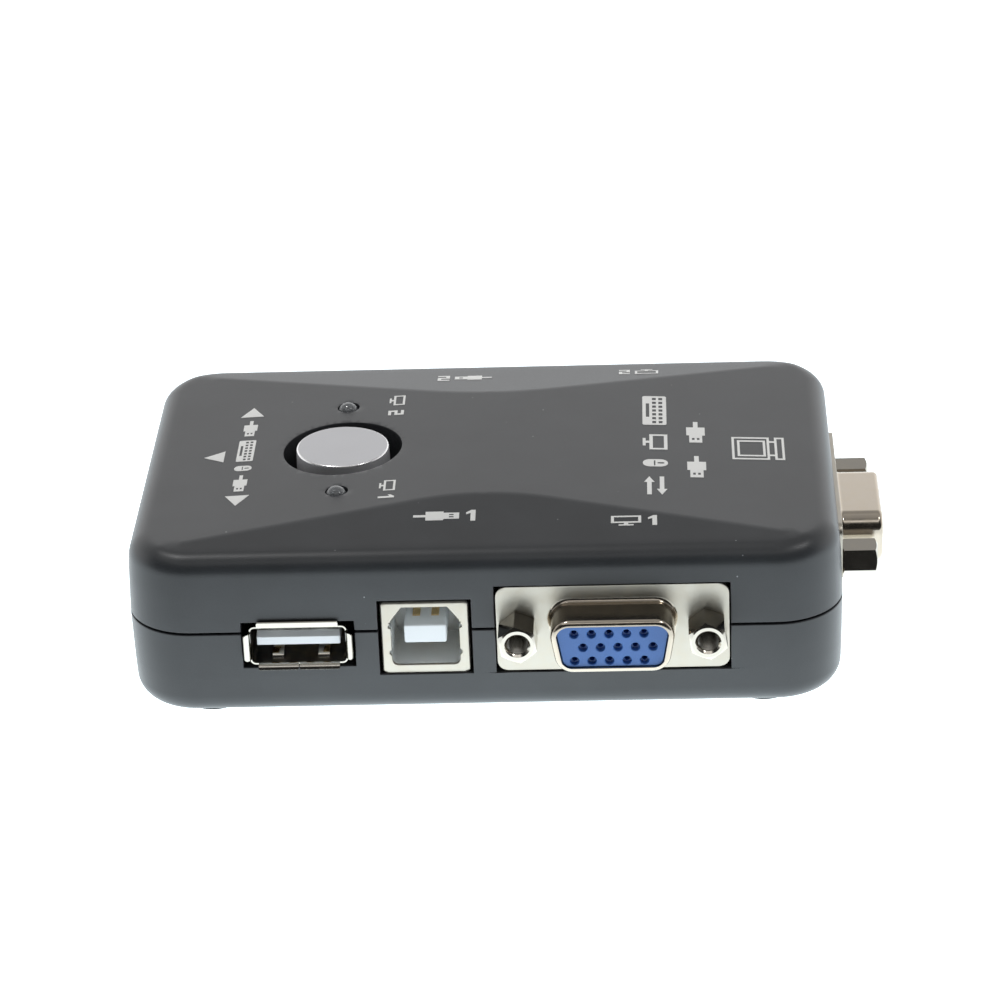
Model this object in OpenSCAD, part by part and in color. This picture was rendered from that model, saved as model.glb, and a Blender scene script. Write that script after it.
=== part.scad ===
// Two-computer desktop switch: a small moulded box that shares one keyboard, mouse and
// monitor between two computers. Origin on the table under the middle of the whole object,
// +X towards the monitor socket, -Y towards the first computer's sockets, +Z up.

/* [Case] */
// Length of the case, left to right
case_l = 95.5; // [94:0.5:100]
// Depth of the case, front to back
case_w = 62; // [61:0.5:66]
// Height of the case from its floor to its rim
rim_h = 23.5; // [23:0.5:25]
// Rise of the hipped top above the rim
roof_rise = 1.8; // [0.6:0.2:2.4]
// Half length of the ridge, front to back
ridge_half = 16; // [10:0.5:18]
// Radius of the four upright corners
corner_r = 9; // [8:0.5:10]
// Radius of the rounded top edge
top_round = 3; // [2.5:0.25:3.5]
// Radius of the rounded bottom edge
bottom_round = 3.2; // [3:0.1:3.2]
// Thickness of the moulded walls
wall = 2; // [1.8:0.1:2.2]
// Height of the parting line above the table
split_z = 13.85; // [13.5:0.05:14.2]
// Width of the groove between the two shells
groove = 0.3; // [0.1:0.05:0.4]

/* [Feet and screws] */
// Radius of a rubber foot
foot_r = 4.5; // [4:0.25:5]
// Height of a foot below the case
foot_h = 1.2; // [1:0.1:1.5]
// Distance of the feet from the centre, left to right
foot_x = 37.1; // [36.5:0.1:37.5]
// Distance of the feet from the centre, front to back
foot_y = 22.9; // [22.5:0.1:23.2]
// Radius of a case screw's shank
screw_r = 1.2; // [1.1:0.05:1.3]

/* [Button and lights] */
// Place of the button and the lights along the case
button_x = -19.93; // [-20.4:0.1:-19.6]
// Radius of the button's well in the top
well_r = 8.2; // [8:0.1:8.4]
// Radius of the button cap
cap_r = 6.6; // [6.5:0.05:6.7]
// Height of the button cap's top above the table
cap_top = 26.2; // [26:0.1:26.8]
// Travel of the button
travel = 1.2; // [0.8:0.1:1.2]
// Distance of each light from the centre line
light_y = 13.2; // [13:0.1:13.6]
// Radius of a light's lens
light_r = 1.5; // [1.4:0.05:1.5]

/* [Video sockets] */
// Place of the front and back video sockets along the case
vga_x = 17.08; // [16.6:0.1:17.4]
// Height of the video sockets' centre above the table
vga_z = 13.6; // [13.5:0.05:13.7]
// Width of a video socket's flange
flange_w = 30.81; // [30.5:0.01:31]
// Height of a video socket's flange
flange_h = 12.5; // [12.3:0.1:12.6]
// Distance between the two screws of a video socket
screw_gap = 24.99; // [24.9:0.01:25.1]
// Distance that the D-shaped collar stands out of its flange
collar_out = 5.9; // [5.5:0.1:6.1]
// Distance between neighbouring contacts in a row
contact_pitch = 2.29; // [2.25:0.01:2.33]
// Distance between the rows of contacts
row_pitch = 1.98; // [1.95:0.01:2]
// Length of the hexagonal standoffs
standoff_len = 4.8; // [4.5:0.1:5]
// Radius of the threaded hole in a standoff
thread_r = 1.42; // [1.35:0.01:1.45]

/* [USB sockets] */
// Place of the square sockets along the case
usb_b_x = -7.75; // [-8:0.05:-7.6]
// Height of the square sockets' centre above the table
usb_b_z = 12.7; // [12.65:0.05:12.75]
// Place of the flat sockets along the case
usb_a_x = -24.6; // [-24.7:0.05:-24.5]
// Height of the flat sockets' centre above the table
usb_a_z = 12; // [11.95:0.05:12.05]

/* [Hidden] */
$fn = 48;
gap = 0.1;
eps = 0.01;
floor_z = foot_h;
rim_z = floor_z + rim_h;
ridge_z = rim_z + roof_rise;
face_x = case_l / 2;
face_y = case_w / 2;
corner_x = face_x - corner_r;
corner_y = face_y - corner_r;
top_draft = 2;
bottom_draft = 1;
foot_sink = 0.6;
board_t = 1.6;
board_z = 6.95;
board_under = board_z - board_t;
board_l = 88;
board_w = 56;
pin_end = board_under - 1.2;
vga_hole = [31.1, 12.75];
usb_b_hole = [12.45, 11];
usb_a_hole = [15, 6.75];
pocket_drop = 0.5;
flange_t = 0.8;
flange_in = 0.3;
end_flange_out = 0.35;
lip_out = 1;
middle_x = (end_flange_out + collar_out - lip_out) / 2;
sheet = 0.4;
collar_w = 16.33;
collar_h = 7.9;
collar_angle = 10;
row_shift = [-0.45, contact_pitch / 2 - 0.45, -0.45];
row_tail = [12.4, 9.86, 7.32];
bracket_t = 0.6;
flange_hole_r = 1.6;
nut_bore_r = 1.7;
pin_r = 0.3;
light_base = 20.4;
guide_z = 19;
stem_r = 1.9;
run_gap = 0.05;
switch_top = 13.6;
spring_top = 11.2;
plunger_disc = 1.1;
usb_a_size = [13.1, 5.7];
usb_a_sheet = 0.3;
usb_b_size = [11.8, 10.9];
usb_b_in = 0.45;
usb_a_contact_x = [-3.45, -1.15, 1.15, 3.45];
// Flat socket's contact strips: [bottom, top]
usb_a_strip = [-0.45, -0.21];
// Square socket's contact strips: [bottom, top, how far back the tail goes down]
usb_b_strips = [[1.61, 1.8, 13.5], [-1.25, -1.06, 11.5]];
steel = [0.85, 0.84, 0.8];
blue = [0.22, 0.42, 0.75];
gold = [0.85, 0.68, 0.35];
white = [0.9, 0.9, 0.9];

// ---- placing: a socket is drawn looking at its mouth, which opens towards -Y ----

module on_front(x, z) {
    translate([x, -face_y, z]) children();
}

module on_back(x, z) {
    translate([x, face_y, z]) rotate([0, 0, 180]) children();
}

module on_left(z) {
    translate([-face_x, 0, z]) rotate([0, 0, -90]) children();
}

module on_right(z) {
    translate([face_x, 0, z]) rotate([0, 0, 90]) children();
}

module both_sides() {
    children();
    mirror([1, 0, 0]) children();
}

// The whole object's middle, and so its origin, is a little right of the case's centre
module centred() {
    translate([-middle_x, 0, 0]) children();
}

// A bar between two corners
module bar(low, high) {
    translate(low) cube(high - low);
}

// A rod along Y from y0 to y1
module rod_y(r, y0, y1) {
    translate([0, y1, 0]) rotate([90, 0, 0]) cylinder(r = r, h = y1 - y0, $fn = 24);
}

// A rectangle with true round corners
module round_rect(l, w, r) {
    square([l - 2 * r, w], center = true);
    square([l, w - 2 * r], center = true);
    for (sx = [-1, 1], sy = [-1, 1]) {
        translate([sx * (l / 2 - r), sy * (w / 2 - r)]) circle(r = r);
    }
}

// A plate standing in the XZ plane, from y0 (outside) to y1 (inside)
module upright(y0, y1) {
    translate([0, y1, 0]) rotate([90, 0, 0]) linear_extrude(height = y1 - y0) children();
}

// ---- case ----

// One ring of a rounded corner; its outer radius is r and its top or bottom edge is round
module corner_ring(r, round) {
    rotate_extrude($fn = 48) translate([r - round, 0]) circle(r = round, $fn = 32);
}

// The closed outer form of the case, or its cavity when inset is the wall thickness
module case_block(inset) {
    r_top = corner_r - tan(top_draft) * (rim_z - split_z) - inset;
    r_low = corner_r - tan(bottom_draft) * (split_z - floor_z) - inset;
    f_top = max(top_round - inset, 0.8);
    f_low = max(bottom_round - inset, 0.8);
    bow = 260;
    hull() {
        for (sx = [-1, 1], sy = [-1, 1]) translate([sx * corner_x, sy * corner_y, 0]) {
            translate([0, 0, floor_z + inset + f_low]) corner_ring(r_low, f_low);
            translate([0, 0, split_z]) cylinder(r = corner_r - inset, h = eps, $fn = 48);
            translate([0, 0, rim_z - inset - f_top]) corner_ring(r_top, f_top);
        }
        for (x = [-10:2.5:10]) {
            translate([x, 0, ridge_z - inset - x * x / (2 * bow)])
                cube([eps, 2 * ridge_half, eps], center = true);
        }
    }
}

module corners() {
    for (sx = [-1, 1], sy = [-1, 1]) translate([sx * foot_x, sy * foot_y, 0]) children();
}

// Everything between two heights
module half_space(z0, z1) {
    bar([-face_x - 1, -face_y - 1, z0], [face_x + 1, face_y + 1, z1]);
}

// A rectangular hole through a side wall
module opening(size) {
    upright(-2, wall + 2) square(size, center = true);
}

// An opening, and the pocket behind it that reaches down to the board's level
module deep_opening(size) {
    opening(size);
    upright(0.4, wall + 2) translate([0, -pocket_drop / 2])
        square([size.x, size.y + pocket_drop], center = true);
}

// Everything that opens a side wall
module wall_openings() {
    on_front(vga_x, vga_z) deep_opening(vga_hole);
    on_back(vga_x, vga_z) deep_opening(vga_hole);
    on_right(vga_z) deep_opening(vga_hole);
    on_front(usb_b_x, usb_b_z) deep_opening(usb_b_hole);
    on_back(usb_b_x, usb_b_z) deep_opening(usb_b_hole);
    on_front(usb_a_x, usb_a_z) opening(usb_a_hole);
    on_back(usb_a_x, usb_a_z) opening(usb_a_hole);
    on_left(usb_a_z) opening(usb_a_hole);
}

module top_shell() {
    rebate = 0.9;
    color([0.27, 0.29, 0.33]) difference() {
        union() {
            difference() {
                case_block(0);
                case_block(wall);
                half_space(-1, split_z + groove / 2);
                translate([0, 0, split_z]) linear_extrude(height = 1.7)
                    round_rect(case_l - 2 * rebate, case_w - 2 * rebate, corner_r - rebate);
            }
            corners() translate([0, 0, board_z]) cylinder(r = 3, h = rim_z - 1.2 - board_z);
            translate([button_x, 0, guide_z])
                cylinder(r = well_r + 1.2, h = ridge_z - wall - guide_z);
        }
        corners() translate([0, 0, board_z - 1]) cylinder(r = screw_r + 0.02, h = 9);
        translate([button_x, 0, guide_z + 1.5]) cylinder(r = well_r, h = 9);
        translate([button_x, 0, guide_z - 1]) cylinder(r = cap_r + gap, h = 9);
        for (s = [-1, 1]) {
            translate([button_x, s * light_y, rim_z - 4]) cylinder(r = light_r + run_gap, h = 9);
        }
        wall_openings();
    }
}

// A post from the floor of the case to the underside of the board
module post(r) {
    translate([0, 0, floor_z + 1]) cylinder(r = r, h = board_under - floor_z - 1);
}

module bottom_shell() {
    lip = 1.05;
    color([0.25, 0.27, 0.31]) difference() {
        union() {
            difference() {
                case_block(0);
                case_block(wall);
                half_space(split_z - groove / 2, 40);
            }
            translate([0, 0, split_z - 1.5]) linear_extrude(height = 3) difference() {
                round_rect(case_l - 2 * lip, case_w - 2 * lip, corner_r - lip);
                round_rect(case_l - 2 * wall, case_w - 2 * wall, corner_r - wall);
            }
            corners() post(4.2);
            for (x = [-14, 14], s = [-1, 1]) {
                translate([x, s * 6, 0]) post(1.6);
            }
        }
        corners() {
            translate([0, 0, floor_z - 1]) cylinder(r = foot_r + gap, h = 1 + foot_sink);
            translate([0, 0, floor_z]) cylinder(r = 2.9, h = 2.8);
            translate([0, 0, floor_z]) cylinder(r = 1.6, h = 9);
        }
        wall_openings();
    }
}

module rubber_feet() {
    color([0.08, 0.08, 0.09]) corners() rotate_extrude()
        polygon([[0, 0], [foot_r - 0.4, 0], [foot_r, 0.4], [foot_r, foot_h + foot_sink],
                 [0, foot_h + foot_sink]]);
}

module case_screws() {
    head_z = floor_z + 0.8;
    color([0.75, 0.75, 0.77]) corners() difference() {
        union() {
            translate([0, 0, head_z]) cylinder(r = 2.6, h = 2);
            translate([0, 0, head_z + 2]) cylinder(r = screw_r, h = 10);
        }
        for (a = [0, 90]) rotate([0, 0, a]) {
            bar([-1.5, -0.3, head_z - 1], [1.5, 0.3, head_z + 1.2]);
        }
    }
}

// ---- board and small parts ----

module pins_of_board(r) {
    on_front(vga_x, 0) vga_pin_places(-flange_in) circle(r = r, $fn = 24);
    on_back(vga_x, 0) vga_pin_places(-flange_in) circle(r = r, $fn = 24);
    on_right(0) vga_pin_places(end_flange_out) circle(r = r, $fn = 24);
    on_front(usb_b_x, 0) usb_b_pin_places() circle(r = r, $fn = 24);
    on_back(usb_b_x, 0) usb_b_pin_places() circle(r = r, $fn = 24);
    on_front(usb_a_x, 0) usb_a_pin_places() circle(r = r, $fn = 24);
    on_back(usb_a_x, 0) usb_a_pin_places() circle(r = r, $fn = 24);
    on_left(0) usb_a_pin_places() circle(r = r, $fn = 24);
    for (x = [-3, 3], y = [-2.5, 0, 2.5]) translate([button_x + x, y]) circle(r = r, $fn = 24);
    for (s = [-1, 1], y = [-1.27, 1.27]) {
        translate([button_x, s * light_y + y]) circle(r = r, $fn = 24);
    }
}

module circuit_board() {
    color([0.05, 0.35, 0.2]) translate([0, 0, board_under]) linear_extrude(height = board_t)
        difference() {
            round_rect(board_l, board_w, 6);
            corners() circle(r = 1.7);
            pins_of_board(0.45);
            on_front(vga_x, 0) vga_lock_places(-flange_in) circle(r = 1.5);
            on_back(vga_x, 0) vga_lock_places(-flange_in) circle(r = 1.5);
            on_right(0) vga_lock_places(end_flange_out) circle(r = 1.5);
        }
}

module chip_body(x, y, l, w, h) {
    translate([x, y, board_z + 0.15]) linear_extrude(height = h) difference() {
        square([l, w], center = true);
        translate([-l / 2, -w / 2]) circle(r = 0.5);
    }
}

module video_switch_chip() {
    color([0.1, 0.1, 0.11]) chip_body(14, 0, 10, 10, 1.4);
}

module usb_switch_chip() {
    color([0.1, 0.1, 0.11]) chip_body(0, 0, 5.3, 10.2, 1.7);
}

// A row of gull-wing legs along Y, count legs at the given pitch
module leg_row(count, pitch) {
    for (i = [0:count - 1]) translate([0, (i - (count - 1) / 2) * pitch, 0]) {
        rotate([90, 0, 0]) linear_extrude(height = 0.25, center = true)
            polygon([[0, 0.6], [0.45, 0.6], [0.7, 0], [1.3, 0], [1.3, 0.2], [0.85, 0.2],
                     [0.55, 0.8], [0, 0.8]]);
    }
}

module chip_legs() {
    color([0.8, 0.8, 0.82]) {
        for (a = [0:90:270]) translate([14, 0, board_z]) rotate([0, 0, a])
            translate([5, 0, 0]) leg_row(16, 0.5);
        for (a = [0, 180]) translate([0, 0, board_z]) rotate([0, 0, a])
            translate([2.65, 0, 0]) leg_row(14, 0.65);
    }
}

module crystal() {
    color([0.8, 0.8, 0.78]) translate([0, -9, board_z]) {
        linear_extrude(height = 0.5) round_rect(11.4, 4.8, 2.3);
        translate([0, 0, 0.5]) linear_extrude(height = 3) round_rect(10.2, 3.8, 1.85);
    }
}

module electrolytic_capacitors() {
    color([0.75, 0.76, 0.8]) for (y = [8.5, -8.5]) translate([24.5, y, board_z]) {
        bar([-2.6, -2.6, 0], [2.6, 2.6, 0.8]);
        rotate_extrude() polygon([[0, 0.8], [2.4, 0.8], [2.5, 0.9], [2.5, 1.3], [2.3, 1.6],
                                  [2.5, 1.9], [2.5, 5.2], [2.3, 5.4], [0, 5.4]]);
    }
}

module voltage_regulator() {
    color([0.12, 0.12, 0.13]) translate([-8, 0, board_z]) {
        bar([-1.75, -3.25, 0.1], [1.75, 3.25, 1.7]);
        bar([1.75, -1.5, 0.1], [3.3, 1.5, 0.4]);
        for (y = [-2.3, 0, 2.3]) bar([-3.3, y - 0.35, 0.1], [-1.75, y + 0.35, 0.4]);
    }
}

module chip_capacitors() {
    color([0.7, 0.6, 0.45]) for (x = [7, 21], y = [-7.5, -5, 5, 7.5]) {
        translate([x, y, board_z]) bar([-0.8, -0.4, 0], [0.8, 0.4, 0.8]);
    }
}

module chip_resistors() {
    color([0.15, 0.15, 0.16]) for (x = [9:2.5:19], y = [-10, 10]) {
        translate([x, y, board_z]) bar([-0.4, -0.8, 0], [0.4, 0.8, 0.45]);
    }
}

// ---- button, its switch and the lights ----

module button_cap() {
    flange_top = guide_z - gap;
    color([0.72, 0.72, 0.74]) translate([button_x, 0, 0]) difference() {
        rotate_extrude() difference() {
            union() {
                translate([0, flange_top - 1]) square([7.6, 1]);
                polygon([[0, flange_top - 1], [cap_r, flange_top - 1], [cap_r, flange_top],
                         [cap_r - 0.2, cap_top - 0.3], [cap_r - 0.5, cap_top], [0, cap_top]]);
            }
            translate([stem_r + 1.2, flange_top - 2]) square([cap_r - stem_r - 2.4, 7]);
            translate([-9, flange_top - 20]) square([9, 40]);
        }
        translate([0, 0, flange_top - 2]) cylinder(r = stem_r + 0.02, h = 5);
    }
}

module switch_plunger() {
    color([0.9, 0.9, 0.88]) translate([button_x, 0, 0]) {
        translate([0, 0, spring_top]) cylinder(r = stem_r, h = guide_z - gap + 3 - spring_top);
        translate([0, 0, spring_top]) cylinder(r = 2.9, h = plunger_disc);
    }
}

module switch_housing() {
    color([0.12, 0.12, 0.13]) translate([button_x, 0, board_z]) difference() {
        linear_extrude(height = switch_top - board_z) round_rect(8.4, 8.4, 0.5);
        translate([0, 0, 1]) cylinder(r = 3, h = spring_top + plunger_disc + gap - board_z - 1);
        translate([0, 0, 1]) cylinder(r = stem_r + run_gap, h = 9);
    }
}

// A round wire along a list of points, closed at both ends; each ring stands upright and
// faces along the coil
module coil(radius, wire, bottom, top, turns) {
    steps = turns * 18;
    sides = 8;
    rise = (top - bottom - 2 * wire) / steps;
    rings = [for (i = [0:steps]) let (a = i * 20, z = bottom + wire + rise * i)
        for (k = [0:sides - 1]) let (b = k * 360 / sides, r = radius + wire * cos(b))
            [r * cos(a), r * sin(a), z + wire * sin(b)]];
    skin = [for (i = [0:steps - 1], k = [0:sides - 1]) let (n = (k + 1) % sides)
        [i * sides + k, i * sides + n, (i + 1) * sides + n, (i + 1) * sides + k]];
    first = [for (k = [sides - 1:-1:0]) k];
    last = [for (k = [0:sides - 1]) steps * sides + k];
    polyhedron(points = rings, faces = concat(skin, [first], [last]));
}

module switch_spring() {
    color([0.8, 0.8, 0.8]) translate([button_x, 0, 0])
        coil(2.3, wire = 0.17, bottom = board_z + 1 + eps, top = spring_top - eps, turns = 3);
}

module switch_pins() {
    color([0.85, 0.8, 0.6]) for (x = [-3, 3], y = [-2.5, 0, 2.5]) {
        translate([button_x + x, y, pin_end]) cylinder(r = pin_r, h = board_z - pin_end);
    }
}

module light(side) {
    top = rim_z + 2.2;
    translate([button_x, side * light_y, 0]) rotate_extrude() difference() {
        union() {
            translate([0, light_base]) square([light_r, top - light_r - light_base]);
            translate([0, light_base]) square([1.9, 0.8]);
            translate([0, top - light_r]) circle(r = light_r);
        }
        translate([-5, 0]) square([5, 40]);
    }
}

module light_1_lens() {
    color([0.75, 0.78, 0.75]) light(-1);
}

module light_2_lens() {
    color([0.75, 0.78, 0.75]) light(1);
}

module light_leads() {
    color([0.8, 0.8, 0.82]) for (s = [-1, 1], y = [-1.27, 1.27]) {
        translate([button_x, s * light_y + y, pin_end]) {
            cylinder(r = 0.25, h = light_base - pin_end, $fn = 24);
        }
    }
}

// ---- video socket ----

// Points of an arc of radius r about c, from angle a0 to a1
function arc(c, r, a0, a1, steps = 8) =
    [for (i = [0:steps]) let (a = a0 + (a1 - a0) * i / steps) c + r * [cos(a), sin(a)]];

// The D outline, wide side up
module d_outline(w, h, r) {
    top = [w / 2 - r, h / 2 - r];
    low = [top.x - 2 * top.y * tan(collar_angle), -top.y];
    a = collar_angle;
    polygon(concat(arc(top, r, 90, -a), arc(low, r, -a, -90),
                   arc([-low.x, low.y], r, 270, 180 + a), arc([-top.x, top.y], r, 180 + a, 90)));
}

function contact_x(row, i) = (i - 2) * contact_pitch + row_shift[row];
function contact_z(row) = (1 - row) * row_pitch;

// Where the contacts' tails meet the board, in plan
module vga_pin_places(out) {
    for (row = [0:2], i = [0:4]) translate([contact_x(row, i), row_tail[row] - out]) children();
}

module vga_lock_places(out) {
    for (s = [-1, 1]) translate([s * screw_gap / 2, 6.5 - out]) children();
}

module screw_places() {
    for (s = [-1, 1]) translate([s * screw_gap / 2, 0, 0]) children();
}

// A D-shaped ring: grow widens the outside, and the bore lies at the given depth in the wall
module d_ring(y0, y1, grow, depth) {
    upright(y0, y1) difference() {
        d_outline(collar_w + 2 * grow, collar_h + 2 * grow, 2.6 + grow);
        d_outline(collar_w - 2 * depth, collar_h - 2 * depth, 2.6 - depth);
    }
}

// out is how far the flange's front stands outside the case face
module vga_collar(out) {
    translate([0, -out, 0]) {
        upright(0, flange_t) difference() {
            round_rect(flange_w, flange_h, 1.5);
            d_outline(collar_w - sheet, collar_h - sheet, 2.6 - sheet / 2);
            screw_places() circle(r = flange_hole_r);
        }
        d_ring(-0.5, 0.3, 0.5, sheet / 2);
        d_ring(-collar_out, flange_t, 0, sheet);
    }
}

module vga_insert(out) {
    translate([0, -out, 0]) difference() {
        union() {
            upright(-collar_out + 1, flange_t) d_outline(15.3, 6.9, 2.1);
            upright(-collar_out + 0.4, 0) d_outline(14.6, 6.5, 1.8);
            upright(flange_t, 5.5) translate([0, -0.3]) round_rect(19.6, 9.4, 1);
        }
        for (row = [0:2], i = [0:4]) translate([contact_x(row, i), 0, contact_z(row)]) {
            rod_y(0.6, -collar_out - 1, 7);
        }
    }
}

module vga_contacts(out, z) {
    translate([0, -out, 0]) for (row = [0:2], i = [0:4]) {
        translate([contact_x(row, i), 0, 0]) {
            translate([0, 0, contact_z(row)]) difference() {
                rod_y(0.55, -collar_out + 1.2, 5.5);
                rod_y(0.38, -collar_out, -1);
            }
            translate([0, 0, contact_z(row)]) rod_y(pin_r, 5.4, row_tail[row]);
            translate([0, row_tail[row], pin_end - z])
                cylinder(r = pin_r, h = z + contact_z(row) - pin_end, $fn = 24);
            translate([0, row_tail[row], contact_z(row)]) sphere(r = pin_r, $fn = 24);
        }
    }
}

module vga_bracket(out, z) {
    low = board_z - z;
    top = 5.1;
    translate([0, -out, 0]) difference() {
        union() {
            upright(flange_t, flange_t + bracket_t) difference() {
                translate([0, (low + top) / 2]) square([flange_w - 2.4, top - low], center = true);
                translate([0, -0.3]) square([20, 9.8], center = true);
            }
            screw_places() {
                bar([-2.6, flange_t + bracket_t, low], [2.6, 9, low + bracket_t]);
                translate([0, 6.5, low - 3]) cylinder(r = 1.2, h = 3);
                rod_y(2.6, flange_t + bracket_t, flange_t + 3);
            }
        }
        screw_places() rod_y(nut_bore_r, 0, 9);
    }
}

module vga_standoffs(out) {
    across = 4.75;
    tip = across / 2;
    translate([0, -out, 0]) screw_places() difference() {
        union() {
            intersection() {
                rotate([90, 0, 0]) rotate([0, 0, 90])
                    cylinder(r = across / sqrt(3), h = standoff_len, $fn = 6);
                rotate([90, 0, 0]) rotate_extrude()
                    polygon([[0, 0], [3, 0], [3, standoff_len - 0.45], [tip - 0.05, standoff_len],
                             [0, standoff_len]]);
            }
            rod_y(1.4, 0, flange_t + 3);
        }
        rod_y(thread_r, -standoff_len - 1, -0.6);
    }
}

// ---- square USB socket ----

// The opening for the plug: a rectangle with both upper corners cut off
module plug_mouth() {
    half = 4.52;
    top = 4.3;
    cut = [1.5, 2];
    polygon([[-half, -top], [half, -top], [half, top - cut.y], [half - cut.x, top],
             [-half + cut.x, top], [-half, top - cut.y]]);
}

module usb_b_pin_places() {
    for (x = [-1.25, 1.25], y = [11.5, 13.5]) translate([x, y]) children();
    for (x = [-5.6, 5.6]) translate([x, 12.6]) children();
}

// The shield: a folded box with a face plate that the plug's opening is cut in
module usb_b_shield(z) {
    w = usb_b_size[0];
    h = usb_b_size[1];
    mid = board_z - z + h / 2;
    upright(usb_b_in, usb_b_in + sheet) difference() {
        translate([0, mid]) square([w, h], center = true);
        plug_mouth();
    }
    difference() {
        upright(usb_b_in, 16.5) translate([0, mid]) difference() {
            square([w, h], center = true);
            square([w - 2 * sheet, h - 2 * sheet], center = true);
        }
        bar([-4.4, 9.5, mid - h / 2 - 1], [4.4, 17, mid - h / 2 + sheet + gap]);
    }
    for (x = [-5.6, 5.6]) {
        translate([x, 12.6, pin_end - z]) cylinder(r = pin_r, h = 3.1, $fn = 24);
    }
}

module usb_b_insert(z) {
    w = usb_b_size[0] - 2 * sheet - 0.04;
    h = usb_b_size[1] - 2 * sheet - 0.04;
    mid = board_z - z + usb_b_size[1] / 2;
    difference() {
        union() {
            difference() {
                upright(usb_b_in + sheet + 0.02, 16.3) translate([0, mid])
                    square([w, h], center = true);
                upright(0, 10) plug_mouth();
            }
            bar([-2.8, 0.65, -1.05], [2.8, 11, 1.6]);
        }
        for (x = [-1.25, 1.25], s = usb_b_strips) {
            bar([x - 0.52, 9, s[0] - 0.02], [x + 0.52, s[2] + 0.6, s[1] + 0.02]);
            translate([x, s[2], -9]) cylinder(r = 0.4, h = 9 + s[1], $fn = 24);
        }
        for (x = [-5.6, 5.6]) translate([x, 12.6, -9]) cylinder(r = 0.5, h = 9, $fn = 24);
    }
}

module usb_b_contacts(z) {
    for (x = [-1.25, 1.25], s = usb_b_strips) {
        bar([x - 0.5, 3.2, s[0]], [x + 0.5, s[2] + 0.4, s[1]]);
        translate([x, s[2], pin_end - z]) cylinder(r = pin_r, h = z + s[1] - pin_end, $fn = 24);
    }
}

// ---- flat USB socket ----

module usb_a_pin_places() {
    for (x = usb_a_contact_x) translate([x, 14]) children();
    for (x = [-6.45, 6.45]) translate([x, 8]) children();
}

// The shield: a folded box with a flared lip on each side of its mouth
module usb_a_shield(z) {
    w = usb_a_size[0];
    h = usb_a_size[1];
    t = usb_a_sheet;
    upright(0.1, 13.5) difference() {
        square([w, h], center = true);
        square([w - 2 * t, h - 2 * t], center = true);
    }
    both_sides() linear_extrude(height = 3.8, center = true) flared_lip(w / 2, 0.7);
    for (m = [0, 1]) mirror([0, 0, m]) rotate([0, 90, 0]) mirror([1, 0, 0])
        linear_extrude(height = 11.2, center = true) flared_lip(h / 2, 0.45);
    for (x = [-6.45, 6.45]) translate([x, 8, pin_end - z]) {
        cylinder(r = pin_r, h = z - h / 2 - pin_end + 0.1, $fn = 24);
    }
}

// A lip's section: it leaves the shield at the given half width and leans outwards
module flared_lip(half, lean) {
    t = usb_a_sheet;
    polygon([[half - t, 0.2], [half, 0.2], [half + lean, -0.7], [half + lean, -lip_out],
             [half + lean - 0.25, -lip_out], [half - t, 0]]);
}

module usb_a_tongue(z) {
    w = usb_a_size[0] - 2 * usb_a_sheet - 0.1;
    h = usb_a_size[1] - 2 * usb_a_sheet - 0.04;
    difference() {
        union() {
            bar([-w / 2, 9.5, -h / 2], [w / 2, 13.4, h / 2]);
            bar([-5.55, 0.5, usb_a_strip[1] + eps], [5.55, 9.6, 1.6]);
        }
        for (x = usb_a_contact_x) {
            bar([x - 0.52, 9, usb_a_strip[0] - 0.02], [x + 0.52, 14, usb_a_strip[1] + 0.02]);
        }
    }
}

module usb_a_contacts(z) {
    for (x = usb_a_contact_x) {
        bar([x - 0.5, 1.4, usb_a_strip[0]], [x + 0.5, 14.4, usb_a_strip[1]]);
        translate([x, 14, pin_end - z])
            cylinder(r = pin_r, h = z + usb_a_strip[1] - pin_end, $fn = 24);
    }
}

centred() top_shell();
centred() bottom_shell();
centred() rubber_feet();
centred() case_screws();
centred() circuit_board();
centred() button_cap();
centred() switch_housing();
centred() switch_plunger();
centred() switch_spring();
centred() switch_pins();
centred() light_1_lens();
centred() light_2_lens();
centred() light_leads();
centred() on_front(vga_x, vga_z) color(steel) vga_collar(-flange_in);  // vga_front_collar
centred() on_front(vga_x, vga_z) color(blue) vga_insert(-flange_in);  // vga_front_insert
centred() on_front(vga_x, vga_z) color(gold) vga_contacts(-flange_in, vga_z);  // vga_front_contacts
centred() on_front(vga_x, vga_z) color(steel) vga_bracket(-flange_in, vga_z);  // vga_front_bracket
centred() on_front(vga_x, vga_z) color(steel) vga_standoffs(-flange_in);  // vga_front_standoffs
centred() on_back(vga_x, vga_z) color(steel) vga_collar(-flange_in);  // vga_back_collar
centred() on_back(vga_x, vga_z) color(blue) vga_insert(-flange_in);  // vga_back_insert
centred() on_back(vga_x, vga_z) color(gold) vga_contacts(-flange_in, vga_z);  // vga_back_contacts
centred() on_back(vga_x, vga_z) color(steel) vga_bracket(-flange_in, vga_z);  // vga_back_bracket
centred() on_back(vga_x, vga_z) color(steel) vga_standoffs(-flange_in);  // vga_back_standoffs
centred() on_right(vga_z) color(steel) vga_collar(end_flange_out);  // vga_end_collar
centred() on_right(vga_z) color(blue) vga_insert(end_flange_out);  // vga_end_insert
centred() on_right(vga_z) color(gold) vga_contacts(end_flange_out, vga_z);  // vga_end_contacts
centred() on_right(vga_z) color(steel) vga_bracket(end_flange_out, vga_z);  // vga_end_bracket
centred() on_right(vga_z) color(steel) vga_standoffs(end_flange_out);  // vga_end_standoffs
centred() on_front(usb_b_x, usb_b_z) color(steel) usb_b_shield(usb_b_z);  // usb_b_front_shield
centred() on_front(usb_b_x, usb_b_z) color(white) usb_b_insert(usb_b_z);  // usb_b_front_insert
centred() on_front(usb_b_x, usb_b_z) color(gold) usb_b_contacts(usb_b_z);  // usb_b_front_contacts
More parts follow.
